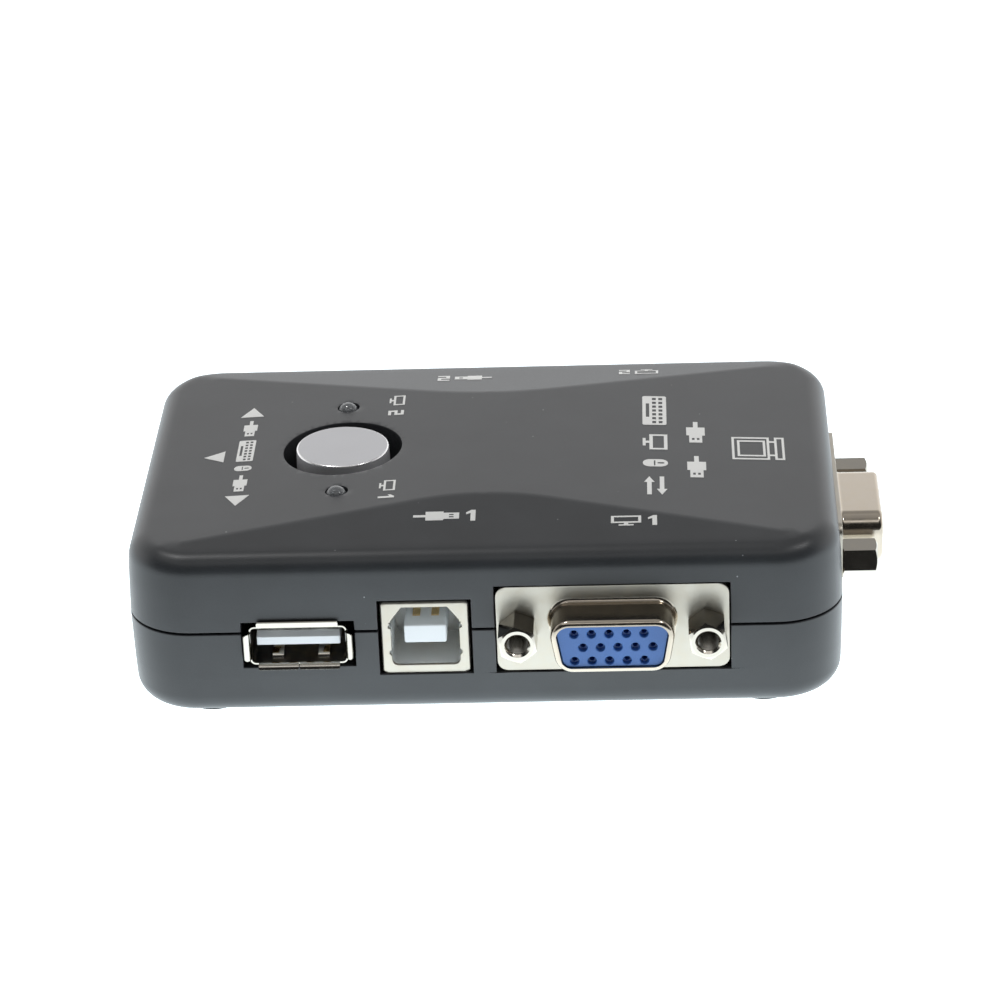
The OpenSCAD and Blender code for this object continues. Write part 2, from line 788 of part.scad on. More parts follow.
centred() on_back(usb_b_x, usb_b_z) color(steel) usb_b_shield(usb_b_z);  // usb_b_back_shield
centred() on_back(usb_b_x, usb_b_z) color(white) usb_b_insert(usb_b_z);  // usb_b_back_insert
centred() on_back(usb_b_x, usb_b_z) color(gold) usb_b_contacts(usb_b_z);  // usb_b_back_contacts
centred() on_front(usb_a_x, usb_a_z) color(steel) usb_a_shield(usb_a_z);  // usb_a_front_shield
centred() on_front(usb_a_x, usb_a_z) color(white) usb_a_tongue(usb_a_z);  // usb_a_front_tongue
centred() on_front(usb_a_x, usb_a_z) color(gold) usb_a_contacts(usb_a_z);  // usb_a_front_contacts
centred() on_back(usb_a_x, usb_a_z) color(steel) usb_a_shield(usb_a_z);  // usb_a_back_shield
centred() on_back(usb_a_x, usb_a_z) color(white) usb_a_tongue(usb_a_z);  // usb_a_back_tongue
centred() on_back(usb_a_x, usb_a_z) color(gold) usb_a_contacts(usb_a_z);  // usb_a_back_contacts
centred() on_left(usb_a_z) color(steel) usb_a_shield(usb_a_z);  // usb_a_end_shield
centred() on_left(usb_a_z) color(white) usb_a_tongue(usb_a_z);  // usb_a_end_tongue
centred() on_left(usb_a_z) color(gold) usb_a_contacts(usb_a_z);  // usb_a_end_contacts
centred() video_switch_chip();
centred() usb_switch_chip();
centred() chip_legs();
centred() crystal();
centred() electrolytic_capacitors();
centred() voltage_regulator();
centred() chip_capacitors();
centred() chip_resistors();
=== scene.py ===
from math import atan, ceil, cos, hypot, pi, radians, sin, sqrt, tan

import bmesh
import bpy
from mathutils import Matrix, Vector
from mathutils.geometry import delaunay_2d_cdt


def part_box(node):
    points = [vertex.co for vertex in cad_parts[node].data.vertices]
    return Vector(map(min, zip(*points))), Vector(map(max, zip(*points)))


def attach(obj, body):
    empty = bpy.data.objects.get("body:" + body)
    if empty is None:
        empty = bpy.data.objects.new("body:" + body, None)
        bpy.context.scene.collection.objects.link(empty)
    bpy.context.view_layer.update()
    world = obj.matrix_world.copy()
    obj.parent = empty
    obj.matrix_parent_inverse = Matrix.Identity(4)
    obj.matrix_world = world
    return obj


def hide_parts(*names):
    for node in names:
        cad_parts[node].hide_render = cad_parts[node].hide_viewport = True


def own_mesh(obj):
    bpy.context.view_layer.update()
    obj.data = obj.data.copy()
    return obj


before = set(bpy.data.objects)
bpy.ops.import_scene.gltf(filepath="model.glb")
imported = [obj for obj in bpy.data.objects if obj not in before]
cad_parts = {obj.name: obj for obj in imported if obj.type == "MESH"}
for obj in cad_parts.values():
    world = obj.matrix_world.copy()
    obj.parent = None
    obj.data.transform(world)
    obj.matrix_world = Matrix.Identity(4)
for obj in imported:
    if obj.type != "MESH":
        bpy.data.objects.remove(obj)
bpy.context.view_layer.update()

# Lengths are millimetres until a mesh is finished; MM turns them into metres.
MM = 0.001


# ---- places from the frame

CASE_LOW, CASE_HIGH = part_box("bottom_shell")
CASE_X = (CASE_LOW.x + CASE_HIGH.x) / 2


def box_mm(node):
    """Lowest and highest corner of a CAD node, in millimetres from the case's centre."""
    low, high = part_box(node)
    shift = Vector((CASE_X, 0, 0))
    return (low - shift) / MM, (high - shift) / MM


def middle(node):
    return sum(box_mm(node), Vector()) / 2


shell_low, shell_high = box_mm("bottom_shell")
FACE_X = shell_high.x
FACE_Y = shell_high.y
FLOOR_Z = shell_low.z
RIDGE_Z = box_mm("top_shell")[1].z
BOARD_UNDER, BOARD_Z = (corner.z for corner in box_mm("circuit_board"))
CAP_TOP = box_mm("button_cap")[1].z
BUTTON_X = middle("button_cap").x
LIGHT_Y = middle("light_2_lens").y
VGA_X, _, VGA_Z = middle("vga_front_collar")
USB_B_X = middle("usb_b_front_insert").x
USB_A_X, _, USB_A_Z = middle("usb_a_front_tongue")
FOOT_R = 4.5
foot_high = box_mm("rubber_feet")[1]
FOOT_PLACES = [(sx * (foot_high.x - FOOT_R), sy * (foot_high.y - FOOT_R))
               for sx, sy in ((-1, -1), (1, -1), (1, 1), (-1, 1))]

# ---- driving sizes of the case

CORNER_R = 9.0
WALL = 2.0
ROOF_RISE = 1.8
RIM_Z = RIDGE_Z - ROOF_RISE
SPLIT_Z = 13.85
GROOVE = 0.3
TOP_DRAFT = tan(radians(2))
LOW_DRAFT = tan(radians(1))
TOP_ROUND = 3.0
LOW_ROUND = 3.2
RIDGE_HALF = 16.0
SLOPE_OUT_X = FACE_X - 0.75
SLOPE_OUT_Y = FACE_Y - 3.0
RIDGE_BLUNT = 9.0
WELL_R = 8.2
CAP_R = 6.6
GUIDE_Z = 19.0
LIGHT_R = 1.55
FLANGE_T = 0.8
FOOT_DEEP = 0.6
POST_R = 3.0
POST_BORE = 1.22
HEAD_R = 2.9
SHANK_R = 1.6
BOARD_POST = (14.0, 6.0)
USB_B_Z = 12.7
VGA_HOLE = (31.1, 12.75)
USB_B_HOLE = (12.45, 11.0)
USB_B = (11.8, 10.9)
USB_A_HOLE = (15.0, 6.75)


# ---- mesh helpers

def valued(value, *place):
    """The value, or what it gives at the place where it is a function."""
    return value(*place) if callable(value) else value


def ring(bm, points):
    return [bm.verts.new(p) for p in points]


def bridge(bm, a, b):
    """Quads between two loops of equal length."""
    for i in range(len(a)):
        j = (i + 1) % len(a)
        bm.faces.new((a[i], a[j], b[j], b[i]))


def loft(bm, rows, cap_start=False, cap_end=False):
    """Loops of points joined one after the other; returns the loops of vertices."""
    loops = [ring(bm, row) for row in rows]
    for a, b in zip(loops, loops[1:]):
        bridge(bm, a, b)
    if cap_start:
        bm.faces.new(loops[0])
    if cap_end:
        bm.faces.new(loops[-1])
    return loops


def within(polygon, x, y):
    """True if the point lies inside the polygon."""
    inside = False
    x0, y0 = polygon[-1]
    for x1, y1 in polygon:
        if (y1 > y) != (y0 > y) and x < (x0 - x1) * (y - y1) / (y0 - y1) + x1:
            inside = not inside
        x0, y0 = x1, y1
    return inside


def fill(bm, outer, holes=(), axes=(0, 2), lift=None, extra=(), lines=()):
    """Triangles over the region inside outer and outside the holes, all loops of vertices.

    extra points and lines of points, given in the plane of axes, are joined in, and lift
    turns such a point into a place in space."""
    points = []
    edges = []
    verts = []
    outlines = []
    for loop in (outer, *holes):
        first = len(points)
        outline = [(v.co[axes[0]], v.co[axes[1]]) for v in loop]
        edges += [(first + i, first + (i + 1) % len(loop)) for i in range(len(loop))]
        points += outline
        verts += loop
        outlines.append(outline)
    points += extra
    for line in lines:
        edges += [(len(points) + i - 1, len(points) + i) for i in range(1, len(line))]
        points += line
    verts += [None] * (len(points) - len(verts))
    found, _, faces, source, _, _ = delaunay_2d_cdt(
        [Vector(p) for p in points], edges, [], 0, 1e-6)
    made = []
    for p, sources in zip(found, source):
        known = [verts[k] for k in sources if verts[k]]
        made.append(known[0] if known else bm.verts.new(lift(p.x, p.y)))
    for face in faces:
        x = sum(found[i].x for i in face) / 3
        y = sum(found[i].y for i in face) / 3
        if [within(outline, x, y) for outline in outlines] == [True] + [False] * len(holes):
            bm.faces.new([made[i] for i in face])


def circle(cx, cy, r, n):
    return [(cx + r * cos(2 * pi * i / n), cy + r * sin(2 * pi * i / n)) for i in range(n)]


def arc(cx, cy, r, start, end, n):
    """n + 1 points of an arc; angles in degrees."""
    return [(cx + r * cos(radians(start + (end - start) * i / n)),
             cy + r * sin(radians(start + (end - start) * i / n))) for i in range(n + 1)]


def round_rect(w, h, r, n=6, cx=0.0, cy=0.0):
    points = []
    for sx, sy, start in ((1, 1, 0), (-1, 1, 90), (-1, -1, 180), (1, -1, 270)):
        points += arc(cx + sx * (w / 2 - r), cy + sy * (h / 2 - r), r, start, start + 90, n)
    return points


def linked(name, data):
    """A new object in the scene."""
    obj = bpy.data.objects.new(name, data)
    bpy.context.scene.collection.objects.link(obj)
    return obj


def finish_mesh(name, bm, node=None, slot=None, material=None, place=None, sharp=38,
                bevel=0.0, body="console"):
    """Closes the bmesh into an object in metres, in place, that shows a CAD node and rides on
    its body. Edges over sharp degrees stay sharp, or are rounded over bevel millimetres."""
    loose = [v for v in bm.verts if not v.link_faces]
    bmesh.ops.delete(bm, geom=loose, context="VERTS")
    bmesh.ops.recalc_face_normals(bm, faces=bm.faces)
    matrix = TO_FRAME @ (place or Matrix.Identity(4))
    bmesh.ops.transform(bm, matrix=matrix, verts=bm.verts)
    mesh = bpy.data.meshes.new(name)
    bm.to_mesh(mesh)
    bm.free()
    mesh.polygons.foreach_set("use_smooth", [True] * len(mesh.polygons))
    obj = linked(name, mesh)
    if bevel:
        mod = obj.modifiers.new("edge", "BEVEL")
        mod.width = bevel * MM
        mod.segments = 2
        mod.limit_method = "ANGLE"
        mod.angle_limit = radians(sharp)
        mod.use_clamp_overlap = False
    else:
        mesh.set_sharp_from_angle(angle=radians(sharp))
    weighted = obj.modifiers.new("normals", "WEIGHTED_NORMAL")
    weighted.keep_sharp = True
    if material:
        mesh.materials.append(material)
    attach(obj, body)
    if node:
        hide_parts(node)
    return obj


TO_FRAME = Matrix.Translation((CASE_X, 0, 0)) @ Matrix.Scale(MM, 4)


def at(x, y, z, turn=0.0):
    """A socket's place: its mouth opens towards -Y before it is turned about +Z."""
    return Matrix.Translation((x, y, z)) @ Matrix.Rotation(radians(turn), 4, "Z")


# ---- materials

class Nodes:
    """Short names for building the node tree of a material or of the world."""

    def __init__(self, owner, shader="Principled BSDF", coords="Object"):
        owner.use_nodes = True
        self.owner = owner
        self.tree = owner.node_tree
        self.shader = self.tree.nodes[shader]
        self.coords = self.add("ShaderNodeTexCoord").outputs[coords]

    def add(self, kind, **values):
        """A node with its inputs or its own settings given by name."""
        node = self.tree.nodes.new(kind)
        for key, value in values.items():
            socket = key.replace("_", " ")
            if socket in node.inputs:
                self.put(node.inputs[socket], value)
            else:
                setattr(node, key, value)
        return node

    def put(self, socket, value):
        if isinstance(value, bpy.types.NodeSocket):
            self.tree.links.new(value, socket)
        else:
            socket.default_value = value

    def set(self, **values):
        for key, value in values.items():
            self.put(self.shader.inputs[key.replace("_", " ")], value)

    def noise(self, size_mm, detail=3.0, rough=0.55):
        """Noise whose grain is about size_mm across."""
        return self.add("ShaderNodeTexNoise", Vector=self.coords, Scale=1 / (size_mm * MM),
                        Detail=detail, Roughness=rough).outputs["Fac"]

    def remap(self, value, *limits):
        """The value, with the first two limits moved to the last two."""
        node = self.add("ShaderNodeMapRange", Value=value)
        for socket, number in zip(node.inputs[1:5], limits):
            socket.default_value = number
        return node.outputs[0]

    def mix(self, factor, a, b):
        node = self.add("ShaderNodeMix", data_type="RGBA")
        for index, value in ((0, factor), (6, a), (7, b)):
            self.put(node.inputs[index], value)
        return node.outputs[2]

    def sum(self, a, b):
        node = self.add("ShaderNodeMath", operation="ADD")
        self.put(node.inputs[0], a)
        self.put(node.inputs[1], b)
        return node.outputs[0]

    def ramp(self, value, stops):
        """Grey levels by value, from (value, level) stops."""
        node = self.add("ShaderNodeValToRGB", Fac=value)
        elements = node.color_ramp.elements
        while len(elements) < len(stops):
            elements.new(0.5)
        for element, (place, level) in zip(elements, stops):
            element.position = place
            element.color = rgba(level, level, level)
        return node.outputs[0]

    def bump(self, height, strength, depth_mm):
        return self.add("ShaderNodeBump", Height=height, Strength=strength,
                        Distance=depth_mm * MM).outputs["Normal"]


def rgba(r, g, b):
    return (r, g, b, 1.0)


def new_nodes(name):
    return Nodes(bpy.data.materials.new(name))


def moulded_plastic(name, colour, rough=0.5, grain_mm=0.14, grain=0.35, mottle=0.12, dust=0.0):
    """Spark-eroded plastic: fine grain, faint flow marks, a few specks of dust."""
    m = new_nodes(name)
    fine = m.noise(grain_mm, 4.0, 0.6)
    broad = m.noise(9.0, 2.0)
    tone = m.sum(m.remap(broad, 0.3, 0.7, -mottle, mottle),
                 m.remap(fine, 0.25, 0.75, -mottle, mottle))
    dark = rgba(*(c * (1 - 2 * mottle) for c in colour))
    light = rgba(*(min(1.0, c * (1 + 2 * mottle)) for c in colour))
    shade = m.mix(m.remap(tone, -2 * mottle, 2 * mottle, 0, 1), dark, light)
    if dust:
        specks = m.add("ShaderNodeTexVoronoi", Vector=m.coords, Scale=1 / (4.2 * MM))
        spot = m.remap(specks.outputs["Distance"], 0.012, 0.03, dust, 0.0)
        shade = m.mix(spot, shade, rgba(0.55, 0.56, 0.58))
    m.set(Base_Color=shade, Roughness=m.remap(fine, 0.2, 0.8, rough - 0.06, rough + 0.07),
          Normal=m.bump(fine, grain, 0.02))
    return m.owner


def plated_metal(name, colour, rough=0.25, tarnish=0.25, stain=(0.55, 0.45, 0.3)):
    """Nickel or tin plate: rolled grain, cloudy patches and a little tarnish."""
    m = new_nodes(name)
    grain = m.noise(0.12, 5.0, 0.65)
    cloud = m.noise(1.6, 4.0, 0.6)
    shade = m.mix(m.remap(cloud, 0.42, 0.75, 0.0, tarnish), rgba(*colour), rgba(*stain))
    m.set(Base_Color=shade, Metallic=1.0,
          Roughness=m.sum(m.remap(grain, 0.2, 0.8, rough - 0.05, rough + 0.07),
                          m.remap(cloud, 0.3, 0.7, -0.03, 0.06)),
          Normal=m.bump(grain, 0.25, 0.008))
    return m.owner


CASE = moulded_plastic("case_plastic", (0.026, 0.028, 0.031), rough=0.36, dust=0.5)
BUTTON = moulded_plastic("button_satin", (0.56, 0.56, 0.58), rough=0.38, grain_mm=0.08,
                         grain=0.15, mottle=0.02)
# Bright metal for the button's shoulder faces: a painted highlight line along the cap's edge.
SHOULDER_HIGHLIGHT = plated_metal("painted_shoulder_highlight", (0.84, 0.84, 0.85), rough=0.24, tarnish=0.1)
RUBBER = moulded_plastic("foot_rubber", (0.02, 0.02, 0.021), rough=0.75, grain_mm=0.25)
BLUE = moulded_plastic("blue_insulator", (0.041, 0.122, 0.35), rough=0.42, grain=0.15)
WHITE = moulded_plastic("white_insulator", (0.74, 0.76, 0.78), rough=0.4, grain=0.1, mottle=0.02)
GREY = moulded_plastic("grey_insulator", (0.72, 0.73, 0.72), rough=0.3, grain=0.1, mottle=0.03)
BLACK = moulded_plastic("black_plastic", (0.018, 0.018, 0.02), rough=0.5)
NATURAL = moulded_plastic("natural_plastic", (0.7, 0.7, 0.66), rough=0.45)
NICKEL = plated_metal("nickel_plate", (0.5, 0.475, 0.425), rough=0.13, tarnish=0.1)
# Dark plate for the inside of the flat USB sockets' tubes: painted shade.
INNER_SHADE = plated_metal("painted_shade_plate", (0.13, 0.12, 0.105), rough=0.3, tarnish=0.2)
# Rougher metal for the standoffs' bores; its darker colour is painted shade in the hole.
SHADED_BORE = plated_metal("cut_thread_painted_shade", (0.42, 0.4, 0.37), rough=0.35, tarnish=0.1)
FLANGE = plated_metal("flange_plate", (0.42, 0.395, 0.345), rough=0.34, tarnish=0.15)
DRAWN = plated_metal("drawn_plate", (0.45, 0.4, 0.335), rough=0.15, tarnish=0.15)
TURNED = plated_metal("turned_nickel", (0.48, 0.45, 0.4), rough=0.1, tarnish=0.1)
GOLD = plated_metal("contact_gold", (1.0, 0.74, 0.38), rough=0.22, stain=(0.5, 0.3, 0.12))
TINNED = plated_metal("tinned_wire", (0.75, 0.75, 0.76), rough=0.3)
INK = moulded_plastic("white_print", (0.82, 0.82, 0.8), rough=0.5, grain_mm=0.1, mottle=0.03)


# ---- case surface

def blunt(x):
    """abs(x) with a rounded bottom, RIDGE_BLUNT wide on each side."""
    if abs(x) >= RIDGE_BLUNT:
        return abs(x)
    return (x * x + RIDGE_BLUNT ** 2) / (2 * RIDGE_BLUNT)


def end_plane(x):
    peak = ROOF_RISE / (1 - blunt(0) / SLOPE_OUT_X)
    return RIM_Z + peak * (1 - blunt(x) / SLOPE_OUT_X)


def side_plane(y):
    return RIM_Z + ROOF_RISE * (SLOPE_OUT_Y - abs(y)) / (SLOPE_OUT_Y - RIDGE_HALF)


def roof(x, y):
    """Height of the hipped top."""
    return min(end_plane(x), side_plane(y))


def crease_y(x):
    """Where the end and side planes meet."""
    return SLOPE_OUT_Y - (end_plane(x) - RIM_Z) * (SLOPE_OUT_Y - RIDGE_HALF) / ROOF_RISE


def stations(lo, hi, stops, step):
    """Places from lo to hi, no further apart than step, that include the stops."""
    marks = sorted({lo, hi, *[s for s in stops if lo < s < hi]})
    out = []
    for a, b in zip(marks, marks[1:]):
        n = max(1, ceil((b - a) / step - 1e-6))
        out += [a + (b - a) * i / n for i in range(n)]
    return out + [hi]


class Notch:
    """A rectangular opening in one wall, from lo to hi in X on the long sides, Y on the ends."""

    def __init__(self, side, centre, z, size):
        self.side = side
        self.lo = centre - size[0] / 2
        self.hi = centre + size[0] / 2
        self.bottom = z - size[1] / 2
        self.top = z + size[1] / 2


NOTCHES = [Notch("right", 0.0, VGA_Z, VGA_HOLE), Notch("left", 0.0, USB_A_Z, USB_A_HOLE)]
for face in ("front", "back"):
    NOTCHES += [Notch(face, VGA_X, VGA_Z, VGA_HOLE), Notch(face, USB_B_X, USB_B_Z, USB_B_HOLE),
                Notch(face, USB_A_X, USB_A_Z, USB_A_HOLE)]


def case_columns():
    """Points around the case at its widest, anticlockwise from the front left:
    (x, y, outward x, outward y, side, place along the side)."""
    cx = FACE_X - CORNER_R
    cy = FACE_Y - CORNER_R
    out = []
    sides = (("front", 0, -1), ("right", 1, 0), ("back", 0, 1), ("left", -1, 0))
    for quarter, (side, nx, ny) in enumerate(sides):
        half = cx if ny else cy
        stops = [v for n in NOTCHES if n.side == side for v in (n.lo, n.hi)]
        places = stations(-half, half, stops, 2.2)
        if side in ("back", "left"):
            places.reverse()
        for p in places:
            out.append((nx * FACE_X if nx else p, ny * FACE_Y if ny else p, nx, ny, side, p))
        for i in range(1, 16):
            a = radians(90 * quarter - 90 + 90 * i / 16)
            out.append(((nx - ny) * cx + CORNER_R * cos(a), (nx + ny) * cy + CORNER_R * sin(a),
                        cos(a), sin(a), "corner", 0.0))
    return out


COLUMNS = case_columns()


def column_point(column, inset, z):
    x, y, nx, ny = column[:4]
    return (x - nx * inset, y - ny * inset, z)


def top_edge_rows(depth, radius, steps):
    """Rows of the rounded top edge, from the roof down to the wall, depth inside the case."""
    rows = [[] for _ in range(steps + 1)]
    for column in COLUMNS:
        wall_in = depth + TOP_DRAFT * (RIM_Z - SPLIT_Z)
        mid = column_point(column, wall_in + radius, 0)
        far = column_point(column, wall_in + radius + 0.5, 0)
        slope = atan((roof(far[0], far[1]) - roof(mid[0], mid[1])) / 0.5)
        last = pi / 2 - slope
        end = column_point(column, wall_in + radius * (1 - cos(last)), 0)
        centre = roof(end[0], end[1]) - depth - radius * sin(last)
        first = radians(2)
        for i in range(steps + 1):
            a = last + (first - last) * i / steps
            rows[i].append(column_point(column, wall_in + radius * (1 - cos(a)),
                                        centre + radius * sin(a)))
    return rows


def low_edge_rows(depth, radius, steps):
    """Rows of the rounded bottom edge, from the floor up to the wall."""
    rows = []
    wall_in = depth + LOW_DRAFT * (SPLIT_Z - FLOOR_Z)
    for i in range(steps + 1):
        a = radians(-90 + 89 * i / steps)
        rows.append([column_point(c, wall_in + radius * (1 - cos(a)),
                                  FLOOR_Z + depth + radius * (1 + sin(a))) for c in COLUMNS])
    return rows


def wall_mesh(bm, outer, profile, inner, limits):
    """Joins the outer edge's rows, rows at the profile's (inset, height) pairs and the inner
    edge's rows. Leaves out each notch between the rows at its limit height, and closes the
    wall's cut edges. Returns the first and the last loop."""
    rows = outer + [[column_point(c, *pair) for c in COLUMNS] for pair in profile] + inner[::-1]
    loops = [ring(bm, row) for row in rows]
    heights = [z for _, z in profile]
    cuts = []
    for notch, limit in zip(NOTCHES, limits):
        columns = [j for j, c in enumerate(COLUMNS)
                   if c[4] == notch.side and notch.lo - 1e-6 <= c[5] <= notch.hi + 1e-6]
        first = len(outer) + heights.index(limit)
        last = len(outer) + len(heights) - 1 - heights[::-1].index(limit)
        cuts.append((min(columns), max(columns), first, last))
    for r in range(len(loops) - 1):
        for j in range(len(COLUMNS)):
            if any(a <= j < b and first <= r < last for a, b, first, last in cuts):
                continue
            k = (j + 1) % len(COLUMNS)
            bm.faces.new((loops[r][j], loops[r][k], loops[r + 1][k], loops[r + 1][j]))
    for a, b, first, last in cuts:
        for j in range(a, b):
            bm.faces.new((loops[first][j], loops[first][j + 1],
                          loops[last][j + 1], loops[last][j]))
        for j in (a, b):
            bm.faces.new([loops[r][j] for r in range(first, last + 1)])
    return loops[0], loops[-1]


def crease_lines():
    """The four hips of the roof as lines of points, each with a line on either side."""
    lines = []
    reach = SLOPE_OUT_X - 7.5
    xs = stations(-reach, reach, [0.0], 1.0)
    for s in (-1, 1):
        for shift in (-0.55, 0.0, 0.55):
            lines.append([(x, s * (crease_y(x) + shift)) for x in xs])
    return lines


CREASES = crease_lines()


def grid_points(outer, keep_out, step):
    """Points of a grid inside outer, clear of the circles (x, y, r) and of the creases."""
    xs, ys = zip(*outer)
    cells = {}
    for p in sum(CREASES, []):
        cells.setdefault((round(p[0]), round(p[1])), []).append(p)
    out = []
    x = min(xs) + step / 2
    while x < max(xs):
        y = min(ys) + step / 2
        while y < max(ys):
            free = all(hypot(x - cx, y - cy) > r + 0.45 * step for cx, cy, r in keep_out)
            if free and within(outer, x, y):
                near = [p for dx in (-1, 0, 1) for dy in (-1, 0, 1)
                        for p in cells.get((round(x) + dx, round(y) + dy), [])]
                if all(hypot(x - p[0], y - p[1]) > 0.55 * step for p in near):
                    out.append((x, y))
            y += step
        x += step
    return out


def pocket(bm, x, y, profile, n=48, closed=False):
    """A round hole or post about (x, y) from (radius, height) pairs, where a height can depend
    on the place. Returns its first and last loop."""
    rows = [[(px, py, valued(z, px, py)) for px, py in circle(x, y, r, n)] for r, z in profile]
    loops = loft(bm, rows, cap_end=closed)
    return loops[0], loops[-1]


def drafted(inset, z, draft):
    """The wall's (inset, height) pair at height z, leaning in away from the split."""
    return inset + draft * abs(z - SPLIT_Z), z


def under_roof(depth):
    return lambda x, y: roof(x, y) - depth


def soft_rim(radius, soft):
    """A hole's rounded rim, from the roof down into the hole."""
    return [(radius + soft * (1 - sin(a)), under_roof(soft * (1 - cos(a))))
            for a in map(radians, (0, 30, 60, 90))]


def roof_sheet(bm, loop, holes, depth, step, lines):
    """The roof's form inside the loop, depth below the roof. Each hole is its loop and its
    circle (x, y, r)."""
    inner = [(v.co.x - c[2] * 0.35, v.co.y - c[3] * 0.35) for v, c in zip(loop, COLUMNS)]
    loops, circles = zip(*holes)
    fill(bm, loop, loops, (0, 1), lambda x, y: (x, y, roof(x, y) - depth),
         grid_points(inner, circles, step), lines)


def top_shell():
    """Hipped roof with the button's well, the lights' holes and posts for the screws."""
    bm = bmesh.new()
    bottom = SPLIT_Z + GROOVE / 2
    rebate = 0.9
    rebate_top = SPLIT_Z + 1.7
    levels = sorted({n.top for n in NOTCHES})
    profile = [drafted(0, z, TOP_DRAFT) for z in reversed(levels)]
    profile += [(0, bottom), (rebate, bottom)]
    profile += [(rebate, z) for z in levels if z < rebate_top]
    profile += [(rebate, rebate_top), (WALL, rebate_top)]
    profile += [drafted(WALL, z, TOP_DRAFT) for z in levels if z > rebate_top]
    outside, inside = wall_mesh(bm, top_edge_rows(0.0, TOP_ROUND, 9), profile,
                                top_edge_rows(WALL, 1.0, 4), [n.top for n in NOTCHES])
    under = under_roof(WALL)
    ledge = GUIDE_Z + 1.5
    guide_r = CAP_R + 0.1
    tube_r = WELL_R + 1.2
    well = soft_rim(WELL_R, 0.1) + [(WELL_R, ledge), (guide_r, ledge), (guide_r, GUIDE_Z),
                                    (tube_r, GUIDE_Z), (tube_r, under)]
    light = soft_rim(LIGHT_R, 0.06) + [(LIGHT_R, under)]
    outer_holes = []
    inner_holes = []
    for y, hole, n in ((0, well, 96), (-LIGHT_Y, light, 40), (LIGHT_Y, light, 40)):
        first, last = pocket(bm, BUTTON_X, y, hole, n)
        outer_holes.append((first, (BUTTON_X, y, hole[0][0])))
        inner_holes.append((last, (BUTTON_X, y, hole[-1][0])))
    post = [(POST_R, under), (POST_R, BOARD_Z), (POST_BORE, BOARD_Z), (POST_BORE, BOARD_Z + 8)]
    for x, y in FOOT_PLACES:
        inner_holes.append((pocket(bm, x, y, post, 32, closed=True)[0], (x, y, POST_R)))
    roof_sheet(bm, outside, outer_holes, 0, 1.1, CREASES)
    roof_sheet(bm, inside, inner_holes, WALL, 3.0, [])
    finish_mesh("case_top", bm, "top_shell", "case_plastic", CASE, sharp=50, bevel=0.12)


def bottom_shell():
    """Tray with a lip, pockets for the feet and the screws' heads, and posts for the board."""
    bm = bmesh.new()
    top = SPLIT_Z - GROOVE / 2
    lip = 1.05
    lip_top = SPLIT_Z + 1.5
    levels = sorted({n.bottom for n in NOTCHES})
    profile = [drafted(0, z, LOW_DRAFT) for z in levels]
    profile += [(0, top - 0.14), (0.04, top - 0.05), (0.14, top), (lip, top), (lip, lip_top),
                (WALL, lip_top)]
    profile += [drafted(WALL, z, LOW_DRAFT) for z in reversed(levels)]
    outside, inside = wall_mesh(bm, low_edge_rows(0.0, LOW_ROUND, 9), profile,
                                low_edge_rows(WALL, 1.5, 4), [n.bottom for n in NOTCHES])
    inner_z = FLOOR_Z + WALL
    shelf = FLOOR_Z + FOOT_DEEP
    seat = FLOOR_Z + 2.8
    column = [(FOOT_R + 0.1, FLOOR_Z), (FOOT_R + 0.1, shelf), (HEAD_R, shelf), (HEAD_R, seat),
              (SHANK_R, seat), (SHANK_R, BOARD_UNDER), (4.2, BOARD_UNDER), (4.2, inner_z)]
    outer_holes = []
    inner_holes = []
    for x, y in FOOT_PLACES:
        first, last = pocket(bm, x, y, column)
        outer_holes.append(first)
        inner_holes.append(last)
    post = [(SHANK_R, inner_z), (SHANK_R, BOARD_UNDER)]
    for x in (-BOARD_POST[0], BOARD_POST[0]):
        for y in (-BOARD_POST[1], BOARD_POST[1]):
            inner_holes.append(pocket(bm, x, y, post, 24, closed=True)[0])
    fill(bm, outside, outer_holes, (0, 1))
    fill(bm, inside, inner_holes, (0, 1))
    finish_mesh("case_bottom", bm, "bottom_shell", "case_plastic", CASE, sharp=50, bevel=0.12)


top_shell()
bottom_shell()


# ---- round parts

def turned(name, profile, centre, n=96, **options):
    """A closed turned part from (radius, z) pairs; a radius of 0 closes it on the axis."""
    bm = bmesh.new()
    loops = [ring(bm, [(x, y, z) for x, y in circle(*centre, r, n if r else 1)])
             for r, z in profile]
    for a, b in zip(loops, loops[1:]):
        if len(a) == len(b):
            bridge(bm, a, b)
        else:
            (tip,), loop = sorted((a, b), key=len)
            for i in range(n):
                bm.faces.new((loop[i - 1], loop[i], tip))
    return finish_mesh(name, bm, **options)


def button():
    """Cap with a slightly crowned top, a crisp shoulder, drafted sides and a hollow underside."""
    flange_top = GUIDE_Z - 0.1
    bottom = flange_top - 1
    top_r = CAP_R - 0.2
    crown = [((top_r - 0.32) * k / 10, CAP_TOP - 0.04 * (k / 10) ** 2) for k in range(11)]
    shoulder = arc(top_r - 0.28, CAP_TOP - 0.32, 0.28, 82, 0, 6)
    profile = crown + shoulder + [
        (CAP_R, flange_top), (7.6, flange_top), (7.6, bottom), (5.45, bottom),
        (5.45, bottom + 6), (3.1, bottom + 6), (3.1, bottom), (1.92, bottom),
        (1.92, bottom + 4), (0, bottom + 4)]
    cap = turned("button", profile, (BUTTON_X, 0.0), body="button", node="button_cap",
                 slot="button_plastic", material=BUTTON, sharp=35)
    # The shoulder's faces take the bright metal: a painted highlight along the cap's top edge.
    cap.data.materials.append(SHOULDER_HIGHLIGHT)
    for face in cap.data.polygons:
        on_edge = 0.15 < face.normal.z < 0.97 and face.center.z > (CAP_TOP - 0.45) * MM
        face.material_index = int(on_edge)


button()


